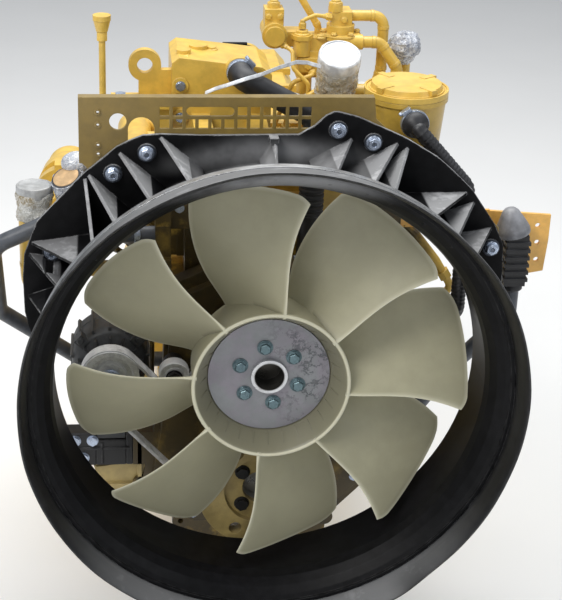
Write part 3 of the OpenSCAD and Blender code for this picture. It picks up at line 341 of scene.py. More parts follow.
def bump(tree, shader, height, strength, distance, normal=None):
    node = add_node(tree, "ShaderNodeBump")
    node.inputs["Strength"].default_value = strength
    node.inputs["Distance"].default_value = distance
    feed(tree, node.inputs["Height"], height)
    if normal is not None:
        feed(tree, node.inputs["Normal"], normal)
    feed(tree, shader.inputs["Normal"], node.outputs[0])


def shade(colour, factor):
    return tuple(min(1.0, channel * factor) for channel in colour)


def painted(name, colour, dirt, bare, rough=(0.34, 0.55), dust=(0.5, 0.16), grime=0.34, coat=0.25, fan_shade=0.0):
    """Enamel over a casting: tone changes, grime, settled dust, edges worn to the primer, and painted shade
    behind the fan.
    """
    tree, shader = new_material(name)
    skin = use_group(tree, "Cast skin", {"Scale": 420.0, "Lumps": 46.0})
    wear = use_group(tree, "Edge wear", {"Width": 0.0016, "Break up": 70.0})
    dirtied = use_group(tree, "Settled dust", {"Scale": 15.0, "Upward": dust[0], "All over": dust[1]})
    base = mix_colour(tree, skin["Tone"], shade(colour, 0.86), shade(colour, 1.08))
    base = layer(tree, base, dirtied["Grime"], grime, dirt)
    base = layer(tree, base, dirtied["Dust"], 0.24, YELLOW_DUST)
    base = layer(tree, base, wear["Mask"], 0.55, bare)
    # Painted shade: what stands behind the fan is darkened towards black
    if fan_shade:
        shade_behind_fan = use_group(tree, "Painted fan shade", {"Low": 0.46, "High": 0.57})
        base = layer(tree, base, shade_behind_fan["Mask"], fan_shade, SHADE_BLACK)
    feed(tree, shader.inputs["Base Color"], base)
    rougher = times(tree, dirtied["Dust"], rough[1] - rough[0])
    rougher = plus(tree, rougher, times(tree, skin["Height"], 0.14))
    feed(tree, shader.inputs["Roughness"], plus(tree, rougher, rough[0] - 0.05, True))
    shader.inputs["Coat Weight"].default_value = coat
    shader.inputs["Coat Roughness"].default_value = 0.22
    bump(tree, shader, skin["Height"], 0.26, 0.0014, wear["Soft normal"])


def moulded(name, colour, dusty, rough=(0.38, 0.62), dust=(0.75, 0.35), grain=900.0, edge=0.5, width=0.0014,
            glance=0.5, speck=11.0, steep=0.15, even=0.0):
    """Moulded plastic or rubber with a fine grain, grey dust and rubbed edges."""
    tree, shader = new_material(name)
    skin = use_group(tree, "Cast skin", {"Scale": grain, "Lumps": 60.0})
    wear = use_group(tree, "Edge wear", {"Width": width, "Break up": 55.0})
    dirtied = use_group(tree, "Settled dust", {"Scale": speck, "Upward": dust[0], "All over": dust[1],
                                               "Steep": steep, "Even": even})
    base = mix_colour(tree, skin["Tone"], shade(colour, 0.75), shade(colour, 1.3))
    base = layer(tree, base, dirtied["Dust"], 0.62, dusty)
    base = layer(tree, base, wear["Mask"], edge, shade(dusty, 1.4))
    feed(tree, shader.inputs["Base Color"], base)
    rougher = times(tree, dirtied["Dust"], rough[1] - rough[0])
    feed(tree, shader.inputs["Roughness"], plus(tree, rougher, rough[0], True))
    shader.inputs["Specular IOR Level"].default_value = glance
    bump(tree, shader, skin["Height"], 0.18, 0.0006, wear["Soft normal"])


def shroud_plastic(name, colour, dusty):
    """Black moulding: clean where the air goes through; pale on its upper ribs with dust and painted
    reflection, and in their corners with a painted highlight.
    """
    tree, shader = new_material(name)
    skin = use_group(tree, "Cast skin", {"Scale": 900.0, "Lumps": 60.0})
    wear = use_group(tree, "Edge wear", {"Width": 0.0028, "Break up": 55.0})
    dirtied = use_group(tree, "Settled dust", {"Scale": 30.0, "Upward": 1.0, "All over": 0.0, "Steep": 0.10,
                                               "Flat": 0.62, "Even": 0.6})
    outside = use_group(tree, "Beyond radius", {"Radius": THROAT_R * MM})["Outside"]
    shroud_sheen = use_group(tree, "Shroud dust and sheen", {"Reach": CORNER_HIGHLIGHT_REACH * MM})
    base = mix_colour(tree, skin["Tone"], shade(colour, 0.75), shade(colour, 1.3))
    # Dust and painted reflection on the up-facing faces of the shroud's upper part
    lying = times(tree, times(tree, dirtied["Dust"], outside), shroud_sheen["Upper sheen"])
    # Painted highlight where the plate meets the ring, near the top
    dust_and_sheen = math_node(tree, "MAXIMUM", times(tree, lying, 0.8), times(tree, shroud_sheen["Corner highlight"], 0.58))
    base = mix_colour(tree, dust_and_sheen, base, dusty)
    base = layer(tree, base, dirtied["Grime"], 0.012, VIOLET_HAZE)
    # Pale edges outside the throat: partly dust, partly painted highlight
    edge_dust_and_highlight = times(tree, wear["Mask"], plus(tree, times(tree, outside, 0.75), 0.1))
    base = mix_colour(tree, edge_dust_and_highlight, base, shade(dusty, 0.9))
    feed(tree, shader.inputs["Base Color"], base)
    feed(tree, shader.inputs["Roughness"], plus(tree, times(tree, dust_and_sheen, 0.25), 0.42, True))
    shader.inputs["Specular IOR Level"].default_value = 0.12
    bump(tree, shader, skin["Height"], 0.18, 0.0006, wear["Soft normal"])


def metal(name, colour, stain, rough=(0.24, 0.46), metallic=0.9, marks=(60.0, 9.0), stains=0.45, bore=0.0):
    """Machined or plated metal with tool marks and stains; bore is the radius inside which the metal is
    darker.
    """
    tree, shader = new_material(name)
    cut = use_group(tree, "Tool marks", {"Scale": marks[0], "Stretch": marks[1]})
    wear = use_group(tree, "Edge wear", {"Width": 0.0010, "Break up": 120.0})
    dirtied = use_group(tree, "Settled dust", {"Scale": 38.0, "Upward": 0.25, "All over": 0.5})
    base = mix_colour(tree, cut["Streak"], shade(colour, 0.82), shade(colour, 1.1))
    base = layer(tree, base, dirtied["Grime"], stains, stain)
    base = layer(tree, base, wear["Mask"], 0.6, shade(colour, 1.3))
    if bore:
        # Darker inside the bore's radius
        beyond_bore = use_group(tree, "Beyond radius", {"Radius": bore * MM})["Outside"]
        base = mix_colour(tree, beyond_bore, shade(stain, 0.35), base)
    feed(tree, shader.inputs["Base Color"], base)
    less = times(tree, dirtied["Grime"], -0.35)
    feed(tree, shader.inputs["Metallic"], plus(tree, less, metallic, True))
    rougher = times(tree, dirtied["Dust"], rough[1] - rough[0])
    rougher = plus(tree, rougher, times(tree, cut["Streak"], 0.08))
    feed(tree, shader.inputs["Roughness"], plus(tree, rougher, rough[0], True))
    bump(tree, shader, cut["Height"], 0.12, 0.0004, wear["Soft normal"])


def stained_disc(name, colour, mauve, stain):
    """Dull steel plate with blue and mauve patches, and dark tide marks that spread from one side."""
    tree, shader = new_material(name)
    coords = place(tree)
    marks = use_group(tree, "Tide marks", {"Scale": 34.0, "Side": 0.02})
    cut = use_group(tree, "Tool marks", {"Scale": 34.0, "Stretch": 1.0})
    patches = ramp(tree, noise(tree, coords, 26.0, 5.0, 0.65), 0.38, 0.62)
    base = mix_colour(tree, patches, colour, mauve)
    base = layer(tree, base, cut["Streak"], 0.25, shade(colour, 0.6))
    base = layer(tree, base, marks["Mask"], 0.72, stain)
    feed(tree, shader.inputs["Base Color"], base)
    shader.inputs["Metallic"].default_value = 0.45
    feed(tree, shader.inputs["Roughness"], plus(tree, times(tree, patches, 0.14), 0.40))
    bump(tree, shader, cut["Height"], 0.16, 0.0005)


def natural_nylon(name, colour, pale, stain):
    """Unpigmented nylon: paler where it thins towards an edge, darker in the hub's recess as painted shade,
    with flow marks.
    """
    tree, shader = new_material(name)
    skin = use_group(tree, "Cast skin", {"Scale": 650.0, "Lumps": 18.0})
    dirtied = use_group(tree, "Settled dust", {"Scale": 9.0, "Upward": 0.2, "All over": 0.5})
    thin = add_node(tree, "ShaderNodeAttribute", attribute_name="thin")
    hub_shade = add_node(tree, "ShaderNodeAttribute", attribute_name="hub_shade")
    base = mix_colour(tree, skin["Tone"], shade(colour, 0.93), shade(colour, 1.05))
    base = layer(tree, base, dirtied["Grime"], 0.26, stain)
    # Painted shade on the hub's recessed wall
    base = mix_colour(tree, hub_shade.outputs["Fac"], base, shade(colour, 0.40))
    base = mix_colour(tree, thin.outputs["Fac"], base, pale)
    feed(tree, shader.inputs["Base Color"], base)
    feed(tree, shader.inputs["Roughness"], plus(tree, times(tree, skin["Height"], 0.16), 0.36, True))
    shader.inputs["Subsurface Weight"].default_value = 0.12
    shader.inputs["Subsurface Radius"].default_value = (0.006, 0.005, 0.003)
    shader.inputs["Subsurface Scale"].default_value = 0.6
    bump(tree, shader, skin["Height"], 0.10, 0.0006)


def wrapping(name, colour, through, through_share, rough):
    """Crumpled plastic film: bright folds, with what lies under it showing through in patches."""
    tree, shader = new_material(name)
    folds = use_group(tree, "Film folds", {"Scale": 60.0})
    base = mix_colour(tree, times(tree, folds["Clear"], through_share), colour, through)
    base = layer(tree, base, folds["Crease"], 0.5, FOLD_WHITE)
    feed(tree, shader.inputs["Base Color"], base)
    feed(tree, shader.inputs["Roughness"], plus(tree, times(tree, folds["Crease"], 0.2), rough))
    shader.inputs["Coat Weight"].default_value = 0.5
    shader.inputs["Coat Roughness"].default_value = 0.12
    bump(tree, shader, folds["Crease"], 0.5, 0.0016)


# Mesh work: sizes and places are in mm, and a bmesh is in metres


def new_piece(name, bm, finish, nodes=(), body="engine", angle=38.0):
    """Turns a bmesh into a piece: its finish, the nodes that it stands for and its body."""
    bmesh.ops.recalc_face_normals(bm, faces=bm.faces)
    mesh = bpy.data.meshes.new(name)
    bm.to_mesh(mesh)
    bm.free()
    piece = bpy.data.objects.new(name, mesh)
    bpy.context.collection.objects.link(piece)
    mesh.materials.append(FINISHES[finish])
    mesh.shade_smooth()
    mesh.set_sharp_from_angle(angle=math.radians(angle))
    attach(piece, body)
    if nodes:
        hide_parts(*nodes)


def loft(bm, rings, caps=True):
    """Faces between closed rings of points, with its ends capped or joined to each other."""
    rows = [[bm.verts.new(Vector(p) * MM) for p in ring] for ring in rings]
    count = len(rows[0])
    for low, high in zip(rows, rows[1:] + ([] if caps else rows[:1])):
        for j in range(count):
            k = (j + 1) % count
            bm.faces.new((low[j], low[k], high[k], high[j]))
    if caps:
        bm.faces.new(rows[0][::-1])
        bm.faces.new(rows[-1])
    return rows


def bend_through(a, corner, b, t):
    """A point of the curve that leaves a and reaches b, drawn towards the corner."""
    return a * (1 - t) ** 2 + corner * 2 * t * (1 - t) + b * t ** 2


def filleted(points, bend, step=4.0):
    """A route with its corners rounded, as points about a step apart."""
    points = [Vector(p) for p in points]
    dense = [points[0]]
    for before, corner, after in zip(points, points[1:], points[2:]):
        one, two = before - corner, after - corner
        turn = math.pi - one.angle(two)
        cut = min(bend * math.tan(turn / 2), one.length * 0.49, two.length * 0.49)
        a, b = corner + one.normalized() * cut, corner + two.normalized() * cut
        dense += [bend_through(a, corner, b, k / 12) for k in range(13)]
    dense.append(points[-1])
    route = [dense[0]]
    for low, high in zip(dense, dense[1:]):
        parts = max(1, round((high - low).length / step))
        if (high - low).length > 1e-6:
            route += [low.lerp(high, k / parts) for k in range(1, parts + 1)]
    return route


def tube(bm, route, radius, sides=20):
    """A round bar along a route; radius is a number or a function of the distance along it."""
    rings = []
    run = 0.0
    side = None
    for i, p in enumerate(route):
        ahead = (route[min(i + 1, len(route) - 1)] - route[max(i - 1, 0)]).normalized()
        if side is None:
            side = ahead.orthogonal().normalized()
        side = (side - ahead * side.dot(ahead)).normalized()
        other = ahead.cross(side)
        run += (p - route[i - 1]).length if i else 0.0
        r = radius(run) if callable(radius) else radius
        turns = [2 * math.pi * k / sides for k in range(sides)]
        rings.append([p + (side * math.cos(a) + other * math.sin(a)) * r for a in turns])
    loft(bm, rings)


def aimed(at, axis):
    """A matrix that puts Z along an axis at a point."""
    return Matrix.Translation(at) @ Vector(axis).to_track_quat("Z", "Y").to_matrix().to_4x4()


def stack(bm, at, axis, levels, sides=28, start=0.0):
    """A turned or many-sided stack along an axis: levels of (height, radius)."""
    turn = aimed(at, axis)
    angles = [start + 2 * math.pi * k / sides for k in range(sides)]
    loft(bm, [[turn @ Vector((r * math.cos(a), r * math.sin(a), height)) for a in angles]
              for height, r in levels])


def hex_head(bm, at, axis, size, washer=0.0, rise=None):
    """A chamfered hex head on its flange, over a washer if one is given."""
    rise = rise or size * 0.42
    base = washer * 0.14
    if washer:
        stack(bm, at, axis, [(0, washer * 0.97), (base * 0.3, washer), (base * 0.8, washer),
                             (base, washer * 0.95)])
    flange, flat = size * 0.72, size * 0.60
    stack(bm, at, axis, [(base, flange), (base + size * 0.10, flange), (base + size * 0.16, size * 0.62)])
    levels = [(base + size * 0.1, flat), (base + rise * 0.86, flat), (base + rise, size * 0.52)]
    stack(bm, at, axis, levels, 6, 0.4)


def crumple(bm, amount, scale, seed=0.0):
    """Pushes points along their normals by smooth lattice noise."""
    bm.normal_update()
    shift = Vector((seed, seed * 0.7, -seed))
    moves = [lattice.noise(v.co * scale + shift) + 0.5 * lattice.noise(v.co * scale * 2.3 - shift)
             for v in bm.verts]
    for v, move in zip(list(bm.verts), moves):
        v.co += v.normal * move * amount * MM


def lathe(bm, profile, centre, steps=128):
    """Turns a closed profile of (radius, y) round an axis along Y through centre (x, z)."""
    turns = [2 * math.pi * i / steps for i in range(steps)]
    loft(bm, [[(centre[0] + r * math.cos(a), y, centre[1] + r * math.sin(a)) for r, y in profile]
              for a in turns], caps=False)


def rounded(profile, radius, steps=4):
    """Rounds the corners of a closed profile of (x, y) points."""
    made = []
    for i, corner in enumerate(profile):
        p = Vector(corner)
        before = Vector(profile[i - 1]) - p
        after = Vector(profile[(i + 1) % len(profile)]) - p
        cut = min(radius, before.length * 0.45, after.length * 0.45)
        a, b = p + before.normalized() * cut, p + after.normalized() * cut
        made += [tuple(bend_through(a, p, b, k / steps)) for k in range(steps + 1)]
    return made


def box(bm, low, high, turn=None):
    """A rectangular block between two corners, turned by a matrix if one is given."""
    corners = [(x, y, z) for x in (low[0], high[0]) for y in (low[1], high[1]) for z in (low[2], high[2])]
    verts = [bm.verts.new((turn @ Vector(c) if turn else Vector(c)) * MM) for c in corners]
    for face in ((0, 1, 3, 2), (4, 6, 7, 5), (0, 4, 5, 1), (2, 3, 7, 6), (0, 2, 6, 4), (1, 5, 7, 3)):
        bm.faces.new([verts[i] for i in face])


def soften(bm, edges, width, segments):
    """Rounds some edges of a bmesh."""
    bmesh.ops.bevel(bm, geom=list(edges), offset=width * MM, segments=segments, affect="EDGES")


# Fan: depths are counted from the plane of the hub's front rim, at HUB_Y

HUB_Y = -1010.0
HUB_R = 127.0
HUB_DEPTH = 94.0
HUB_RIBS = 28
DISC_R = 98.0
DISC_DEPTH = 43.0
BORE_R = 24.0
FAN_BOLTS = 6
FAN_BOLT_R = 50.0
FIRST_BOLT = -21.0
BLADES = 8
BLADE_DEPTH = 88.0
BLADE_START = 36.0
BLADE_ROWS = 26
TIP_R = 322.0


def blade_span(r):
    """Angle covered by a blade at radius r, in degrees."""
    taper_r = 175.0
    return 42.0 - 9.5 * max(0.0, (r - taper_r) / (TIP_R - taper_r)) ** 1.5


def blade_skin(u, s):
    """A point midway through the blade: u along the radius, s from front edge to rear edge."""
    start = HUB_R - 7.0
    rear_corner = 0.034 * max(0.0, (s - 0.8) / 0.2) ** 2.5
    front_corner = 0.030 * max(0.0, 1 - s / 0.13) ** 2.2
    r = start + (TIP_R * (1 - rear_corner - front_corner) - start) * u
    bow = 3 * math.sin(math.pi * u)
    a = math.radians(BLADE_START + bow * (1 - s) + s * blade_span(r))
    y = BLADE_DEPTH * (s + 0.10 * math.sin(math.pi * s)) + 2.0
    return Vector((r * math.cos(a), y, r * math.sin(a)))


def blade_normal(u, s):
    e = 0.004
    du = blade_skin(min(1, u + e), s) - blade_skin(max(0, u - e), s)
    ds = blade_skin(u, min(1, s + e)) - blade_skin(u, max(0, s - e))
    return du.cross(ds).normalized()


def blade_stations():
    """Places across the blade, closer together at its rounded edges."""
    near = [0.0, 0.004, 0.012, 0.026, 0.045, 0.07, 0.10]
    middle = [0.10 + 0.8 * i / 12 for i in range(1, 12)]
    return near + middle + [1 - s for s in reversed(near)]


def add_blade(bm, thin, turn, thickness):
    """One blade; thin is the layer that holds how pale the nylon is, towards the blade's edges."""
    stations = blade_stations()
    rings = []
    pale = []
    for i in range(BLADE_ROWS + 1):
        u = (i / BLADE_ROWS) ** 0.9
        root = math.exp(-u * 16.0)
        tip = max(0.12, math.sqrt(max(0.0, 1 - max(0.0, (u - 0.988) / 0.012) ** 2)))
        rings.append([])
        pale.append([])
        for side in (1, -1):
            for s in (stations if side > 0 else stations[::-1])[:-1]:
                edge = min(1.0, min(s, 1 - s) / 0.02)
                half = (thickness / 2 - 0.35 * u + 3.2 * root) * math.sqrt(1 - (1 - edge) ** 2) * tip
                rings[-1].append(turn @ (blade_skin(u, s) + blade_normal(u, s) * half * side))
                pale[-1].append(max(0.0, 1 - min(s, 1 - s) / 0.035, 1 - (1 - u) / 0.02))
    for row, values in zip(loft(bm, rings), pale):
        for vert, value in zip(row, values):
            vert[thin] = min(1.0, value) * 0.8


def fan_turn(degrees):
    """A matrix that puts a shape round the fan's axle, at the hub's front rim."""
    return Matrix.Translation((FAN[0], HUB_Y, FAN[1])) @ Matrix.Rotation(-math.radians(degrees), 4, "Y")


def make_fan(thickness):
    """The moulded fan: its blades, its hub in one turned profile, and the ribs inside the hub."""
    bm = bmesh.new()
    thin = bm.verts.layers.float.new("thin")
    for k in range(BLADES):
        add_blade(bm, thin, fan_turn(360 / BLADES * k), thickness)
    r, seat = HUB_R, DISC_DEPTH + 6
    outline = [(r - 4, 0), (r, 1.5), (r, 8), (r - 3, 12), (r - 4, HUB_DEPTH), (r - 8, HUB_DEPTH),
               (r - 9, seat + 10), (61, seat + 9), (30, seat + 9), (30, seat), (99, seat),
               (100, DISC_DEPTH - 2), (r - 8, 4)]
    lathe(bm, [(radius, y + HUB_Y) for radius, y in rounded(outline, 2.0)], FAN, 144)
    rib = [(r - 7.2, 5), (r - 9.4, 8), (101.0, 36), (101.8, 41)]
    for k in range(HUB_RIBS):
        turn = fan_turn(k * 360 / HUB_RIBS)
        loft(bm, [[turn @ Vector((x, y, half)) for x, y in rib] for half in (-1.1, 1.1)])
    # Painted shade: a layer that darkens the hub's wall between its rim and the disc
    hub_shade = bm.verts.layers.float.new("hub_shade")
    for vert in bm.verts:
        x, y, z = vert.co / MM
        away = math.hypot(x, z - FAN[1])
        if DISC_R < away < r - 6.0 and y < HUB_Y + DISC_DEPTH + 3:
            vert[hub_shade] = 0.92 if y > HUB_Y + 6 else 0.72
        if r - 6.0 < away < r + 1 and y < HUB_Y + 2.5:
            vert[thin] = 0.7
    new_piece("fan_moulding", bm, "nylon_natural", ["fan"], body="fan_rotor")


def make_fan_screws():
    """The hexagon screws of the clamp disc, with the ring on each head."""
    bm = bmesh.new()
    for k in range(FAN_BOLTS):
        a = math.radians(FIRST_BOLT + 360 / FAN_BOLTS * k)
        at = Vector((FAN_BOLT_R * math.cos(a), HUB_Y + DISC_DEPTH, FAN[1] + FAN_BOLT_R * math.sin(a)))
        hex_head(bm, at, FORWARD, 15.5, 12.8, 8.0)
        stack(bm, at + FORWARD * 9.6, FORWARD, [(0, 4.6), (0.3, 4.6), (0.3, 2.2)], 20)
    new_piece("fan_screws", bm, "zinc_blue", ["fan_bolts"], body="fan_rotor", angle=24.0)


# Shroud: places are (x, z) from the fan's axle, and depths are counted from HUB_Y

THROAT_R = 377.0
# Reach from the fan's axle of the painted highlight where the plate meets the ring
CORNER_HIGHLIGHT_REACH = 410.0
PLATE_DEPTH = 78.0
SCREW_PLACES = ((-194, 364), (-245, 331), (97, 400), (152, 380), (352, 203), (-340, 203))

SEAL_PROFILE = [(380.3, -26), (384, -26), (384, -48), (386, -60), (389, -74), (394, -90), (393.4, -92.4),
                (391.6, -92.6), (389, -90), (385, -75), (381.5, -62), (379, -53), (380.3, -50)]
SEAL_FRONT = -92.8
SEAL_STEPS = 360
SLACK_PLACE = 301.0
SLACK_WIDTH = 7.5


def make_shroud_screws():
    """The screws of the shroud's plate, each on its dark washer."""
    screws, washers = bmesh.new(), bmesh.new()
    for x, z in SCREW_PLACES:
        at = Vector((x, HUB_Y + PLATE_DEPTH, z + FAN[1]))
        stack(washers, at, FORWARD, [(0, 13.8), (0.5, 14), (2.1, 14), (2.6, 13.6), (2.6, 5)], 40)
        stack(screws, at - FORWARD * 22, FORWARD, [(0, 4.8), (0.8, 5.5), (22, 5.5)], 24)
        hex_head(screws, at + FORWARD * 2.6, FORWARD, 16.5, rise=8.5)
        stack(screws, at + FORWARD * 11.2, FORWARD, [(0, 5.4), (0.5, 5.4), (0.5, 4.0), (-0.6, 3.6)], 24)
    new_piece("shroud_screws", screws, "zinc", ["shroud_bolts"], angle=24)
    new_piece("shroud_washers", washers, "zinc_dark", angle=30)


def seal_wave(angle, y, slack):
    """How far the lip stands out of round: more towards its free edge, and most at one slack place."""
    free = max(0.0, min(1.0, (-48 - y) / 42))
    wave = 0.9 * math.sin(5 * angle + 0.4) + 0.5 * math.sin(11 * angle + 1.9) + 0.15 * math.sin(23 * angle)
    away = (math.degrees(angle) - SLACK_PLACE) / SLACK_WIDTH
    return free * (wave + slack * math.exp(-away * away))


def make_seal(slack):
    """The seal: its profile turned round the fan's axle and moved by the wave."""
    rings = []
    for i in range(SEAL_STEPS):
        a = 2 * math.pi * i / SEAL_STEPS
        ring = []
        for r, y in SEAL_PROFILE:
            wave = seal_wave(a, y, slack)
            depth = max(SEAL_FRONT, y + 0.28 * wave)
            ring.append(((r + wave) * math.cos(a), HUB_Y + depth, FAN[1] + (r + wave) * math.sin(a)))
        rings.append(ring)
    bm = bmesh.new()
    loft(bm, rings, caps=False)
    new_piece("seal_lip", bm, "seal_rubber", ["shroud_seal"], angle=50)


# Hoses: each route is that of its CAD node, and the drain line has none

CANISTER_OUTLET_X = 228.0
COOLANT_ROUTE = [(-43, -787, 703), (-43, -824, 703), (75, -824, 640), (75, -824, 450), (75, -806, 408),
                 (75, -806, 372)]
BREATHER_ROUTE = [(CANISTER_OUTLET_X, -858.4, 643), (CANISTER_OUTLET_X, -890, 643), (316, -890, 545),
                  (316, -890, 330), (316, -773, 250), (232.4, -773, 250)]
LEFT_ROUTE = [(-176, -773, 420), (-226, -773, 420), (-330, -806, 464), (-440, -806, 414), (-440, -700, 250),
              (-300, -600, 100), (-140, -600, 100)]
RIGHT_ROUTE = [(420, -830, 354), (420, -830, 290), (330, -760, 140), (250, -740, 0), (160, -740, 0)]
DRAIN_ROUTE = [(226, -775, 452), (262, -786, 420), (297, -790, 376), (327, -790, 326), (300, -785, 292),
               (228, -775, 292)]

# Hose clamps: place, way along the hose, hose radius, turn of the screw in radians
CLAMPS = (((-43, -795, 703), (0, -1, 0), 20.4, 0.8), ((75, -806, 382), (0, 0, 1), 19.2, -1.2),
          ((CANISTER_OUTLET_X, -866, 643), (0, -1, 0), 21.4, 2.2), ((-205, -773, 420), (1, 0, 0), 14.4, 1.0),
          ((170, -740, 0), (1, 0, 0), 14.4, 0.4))


def clamp(bm, at, axis, radius, screw_turn):
    """A worm-drive hose clamp: its band, the housing of its worm and the worm's head."""
    edge, band = radius + 0.6, radius + 1.4
    stack(bm, at, axis, [(-5, edge), (-4.6, band), (4.6, band), (5, edge)], 40)
    turn = aimed(at, axis) @ Matrix.Rotation(screw_turn, 4, "Z")
    box(bm, (radius, -8, -5.5), (radius + 6.5, 8, 5.5), turn)
    head = turn @ Vector((radius + 4.5, 8, 0))
    stack(bm, head, turn.to_3x3() @ Vector((0, 1, 0)), [(0, 3.4), (4, 3.4), (4.6, 2.8)], 6)


def coolant_radius(run):
    """Beads at the tower's spigot, and coarse ribs down the long straight."""
    if run < 26:
        return 20.4 if run % 5 < 2.6 else 19.2
    if 190 < run < 330:
        return 20.6 if run % 10 < 5 else 18.6
    return 18.9


def breather_radius(run):
    """A ribbed boot over the canister's outlet, its shoulder, then a finely ribbed hose."""
    if run < 20:
        return 21.3 if run % 6 < 3.4 else 19.4
    if run < 26:
        return 21.3 - (run - 20) * 1.5
    return 12.5 if run % 7 < 3.6 else 11.6


def make_coolant_hose():
    """The hose from the tower, and the clamps of all the hoses."""
    bm = bmesh.new()
    tube(bm, filleted(COOLANT_ROUTE, 31, 2.0), coolant_radius, 28)
    new_piece("coolant_hose_rubber", bm, "hose_rubber", ["coolant_hose"], angle=30)
    bm = bmesh.new()
    for at, axis, radius, screw_turn in CLAMPS:
        clamp(bm, at, axis, radius, screw_turn)
    new_piece("hose_clamps", bm, "zinc", angle=30)


def make_breather_hose():
    bm = bmesh.new()
    tube(bm, filleted(BREATHER_ROUTE, 26, 2.0), breather_radius, 24)
    tube(bm, filleted([(247, -773, 250), BREATHER_ROUTE[-1]], 1, 3.0), 15, 24)
    new_piece("breather_hose_rubber", bm, "hose_rubber", ["breather_hose"], angle=30)


def make_side_hoses(diameter):
    bm = bmesh.new()
    for route in (LEFT_ROUTE, RIGHT_ROUTE):
        tube(bm, filleted(route, 40, 5.0), diameter / 2, 24)
    new_piece("side_hose_rubber", bm, "hose_grey", ["side_hoses"], angle=30)


def make_boot():
    """The connector at the right-hand bracket, with its ribbed body and the grey cone on top."""
    bm = bmesh.new()
    stack(bm, (415, -830, 440), (-0.208, 0, 0.978),
          [(0, 24), (0, 28), (2, 29), (8, 28.8), (12, 27.4), (22, 23), (32, 18), (40, 14), (44.5, 9.5),
           (46.4, 4)], 36)
    new_piece("boot_cone", bm, "boot_plastic", angle=40)
    bm = bmesh.new()
    box(bm, (402, -850, 352), (438, -810, 442))
    for i in range(6):
        box(bm, (399, -853, 361 + i * 13), (441, -807, 367 + i * 13))
    box(bm, (406, -812, 372), (432, -790, 412))
    stack(bm, (420, -830, 356), (0, 0, -1), [(0, 17), (3, 19), (14, 19), (17, 16)], 32)
    soften(bm, [e for e in bm.edges if e.is_manifold and e.calc_face_angle(0) > 1.2], 1.2, 2)
    new_piece("connector_body", bm, "hose_rubber", angle=40)


def make_drain_line():
    """The small yellow line beside the canister's bracket, with its union nuts."""
    bm = bmesh.new()
    tube(bm, filleted(DRAIN_ROUTE, 16, 3.0), 7.0, 18)
    for at, way in (((232, -776.5, 446.5), (0.74, -0.22, -0.64)), ((232, -775.5, 292), (1, -0.14, 0)),
                    ((309, -790, 356), (0.51, 0, -0.86))):
        stack(bm, at, way, [(0, 11.5), (14, 11.5), (15, 10.5), (15, 7.2)], 6)
    new_piece("drain_line", bm, "paint_yellow", angle=30)


# Belt and pulleys

BELT_FRONT = -872.0
BELT_BACK = -848.0
BELT_RIBS = 8
RIB_PITCH = 2.93
BELT_STEPS = 28

# The belt's way round: axle, radius of its middle, and 1 where its ribs face the pulley or -1 its back
BELT_RUN = ((CRANK, 95, 1), (TENSIONER, 38.5, -1), (FAN, 76, 1), (IDLER, 28.5, -1), (ALTERNATOR, 47, 1))


def belt_heading(i):
    """Direction of the straight stretch that leaves pulley i."""
    (a, ra, sa), (b, rb, sb) = BELT_RUN[i], BELT_RUN[(i + 1) % len(BELT_RUN)]
    dx, dz = b[0] - a[0], b[1] - a[1]
    return math.atan2(dz, dx) - math.asin((sb * rb - sa * ra) / math.hypot(dx, dz))


def make_belt():
    """The belt: its ribbed section along the arcs and straights of its way round."""
    ribs = []
    for i in range(BELT_RIBS):
        y = BELT_BACK - 0.3 - i * RIB_PITCH
        ribs += [(1.0, y), (2.45, y - 0.9), (2.45, y - 1.9), (1.0, y - 2.8)]
    section = [(-2.5, BELT_FRONT + 0.4), (-2.5, BELT_BACK - 0.4), (-1.9, BELT_BACK), *ribs,
               (-1.9, BELT_FRONT)]
    rings = []
    for i, (centre, r, sense) in enumerate(BELT_RUN):
        start = belt_heading(i - 1)
        turn = (belt_heading(i) - start) % (2 * math.pi)
        turn = turn if sense > 0 else turn - 2 * math.pi
        for k in range(BELT_STEPS + 1):
            h = start + turn * k / BELT_STEPS
            reach = [(sense * r - off, y) for off, y in section]
            rings.append([(centre[0] + d * math.sin(h), y, centre[1] - d * math.cos(h)) for d, y in reach])
    bm = bmesh.new()
    loft(bm, rings, caps=False)
    new_piece("ribbed_belt", bm, "belt_back", ["drive_belt"], angle=25)


def grooves(r, count=7):
    """Profile points of a pulley's belt grooves, from the belt's front to its back."""
    points = []
    pitch = (BELT_BACK - BELT_FRONT) / count
    for i in range(count):
        y = BELT_FRONT + i * pitch
        points += [(r, y + pitch * 0.12), (r - 2.2, y + pitch * 0.40), (r - 2.2, y + pitch * 0.60),
                   (r, y + pitch * 0.88)]
    return points


def make_alternator_pulley():
    """The alternator's pulley with its dished face and its grooves, and its nut."""
    r, front, back = 44.1, -876.0, -845.4
    flange = r + 3.6
    face = [(0.5, back), (0.5, -875.0), (12, -875.0), (13, -873.0), (24, -873.0), (26, -871.0), (28, -866.0),
            (35, -866.0), (37, -874.6), (39, front)]
    rim = [(flange, front), (flange, -873.4), (r, -872.4), *grooves(r), (r, -847.6), (flange, -846.6),
           (flange, back), (12.6, back)]
    bm = bmesh.new()
    lathe(bm, face + rim, ALTERNATOR, 112)
    new_piece("alternator_sheave", bm, "sheave_steel", ["alternator_pulley"],
              body="alternator_rotor", angle=28)
    x, z = ALTERNATOR
    bm = bmesh.new()
    hex_head(bm, (x, -875, z), FORWARD, 24, 15.5, 12)
    stack(bm, (x, -886, z), FORWARD, [(0, 8), (4, 8), (5.2, 6.8), (5.2, 4), (2, 3.6)], 24)
    new_piece("alternator_nut", bm, "zinc", body="alternator_rotor", angle=28)


def roller_face(r):
    """The smooth outside of a roller, with its rounded corners, from back to front."""
    return [(r - 0.6, BELT_BACK), (r, BELT_BACK - 1), (r, BELT_FRONT + 1), (r - 0.6, BELT_FRONT)]


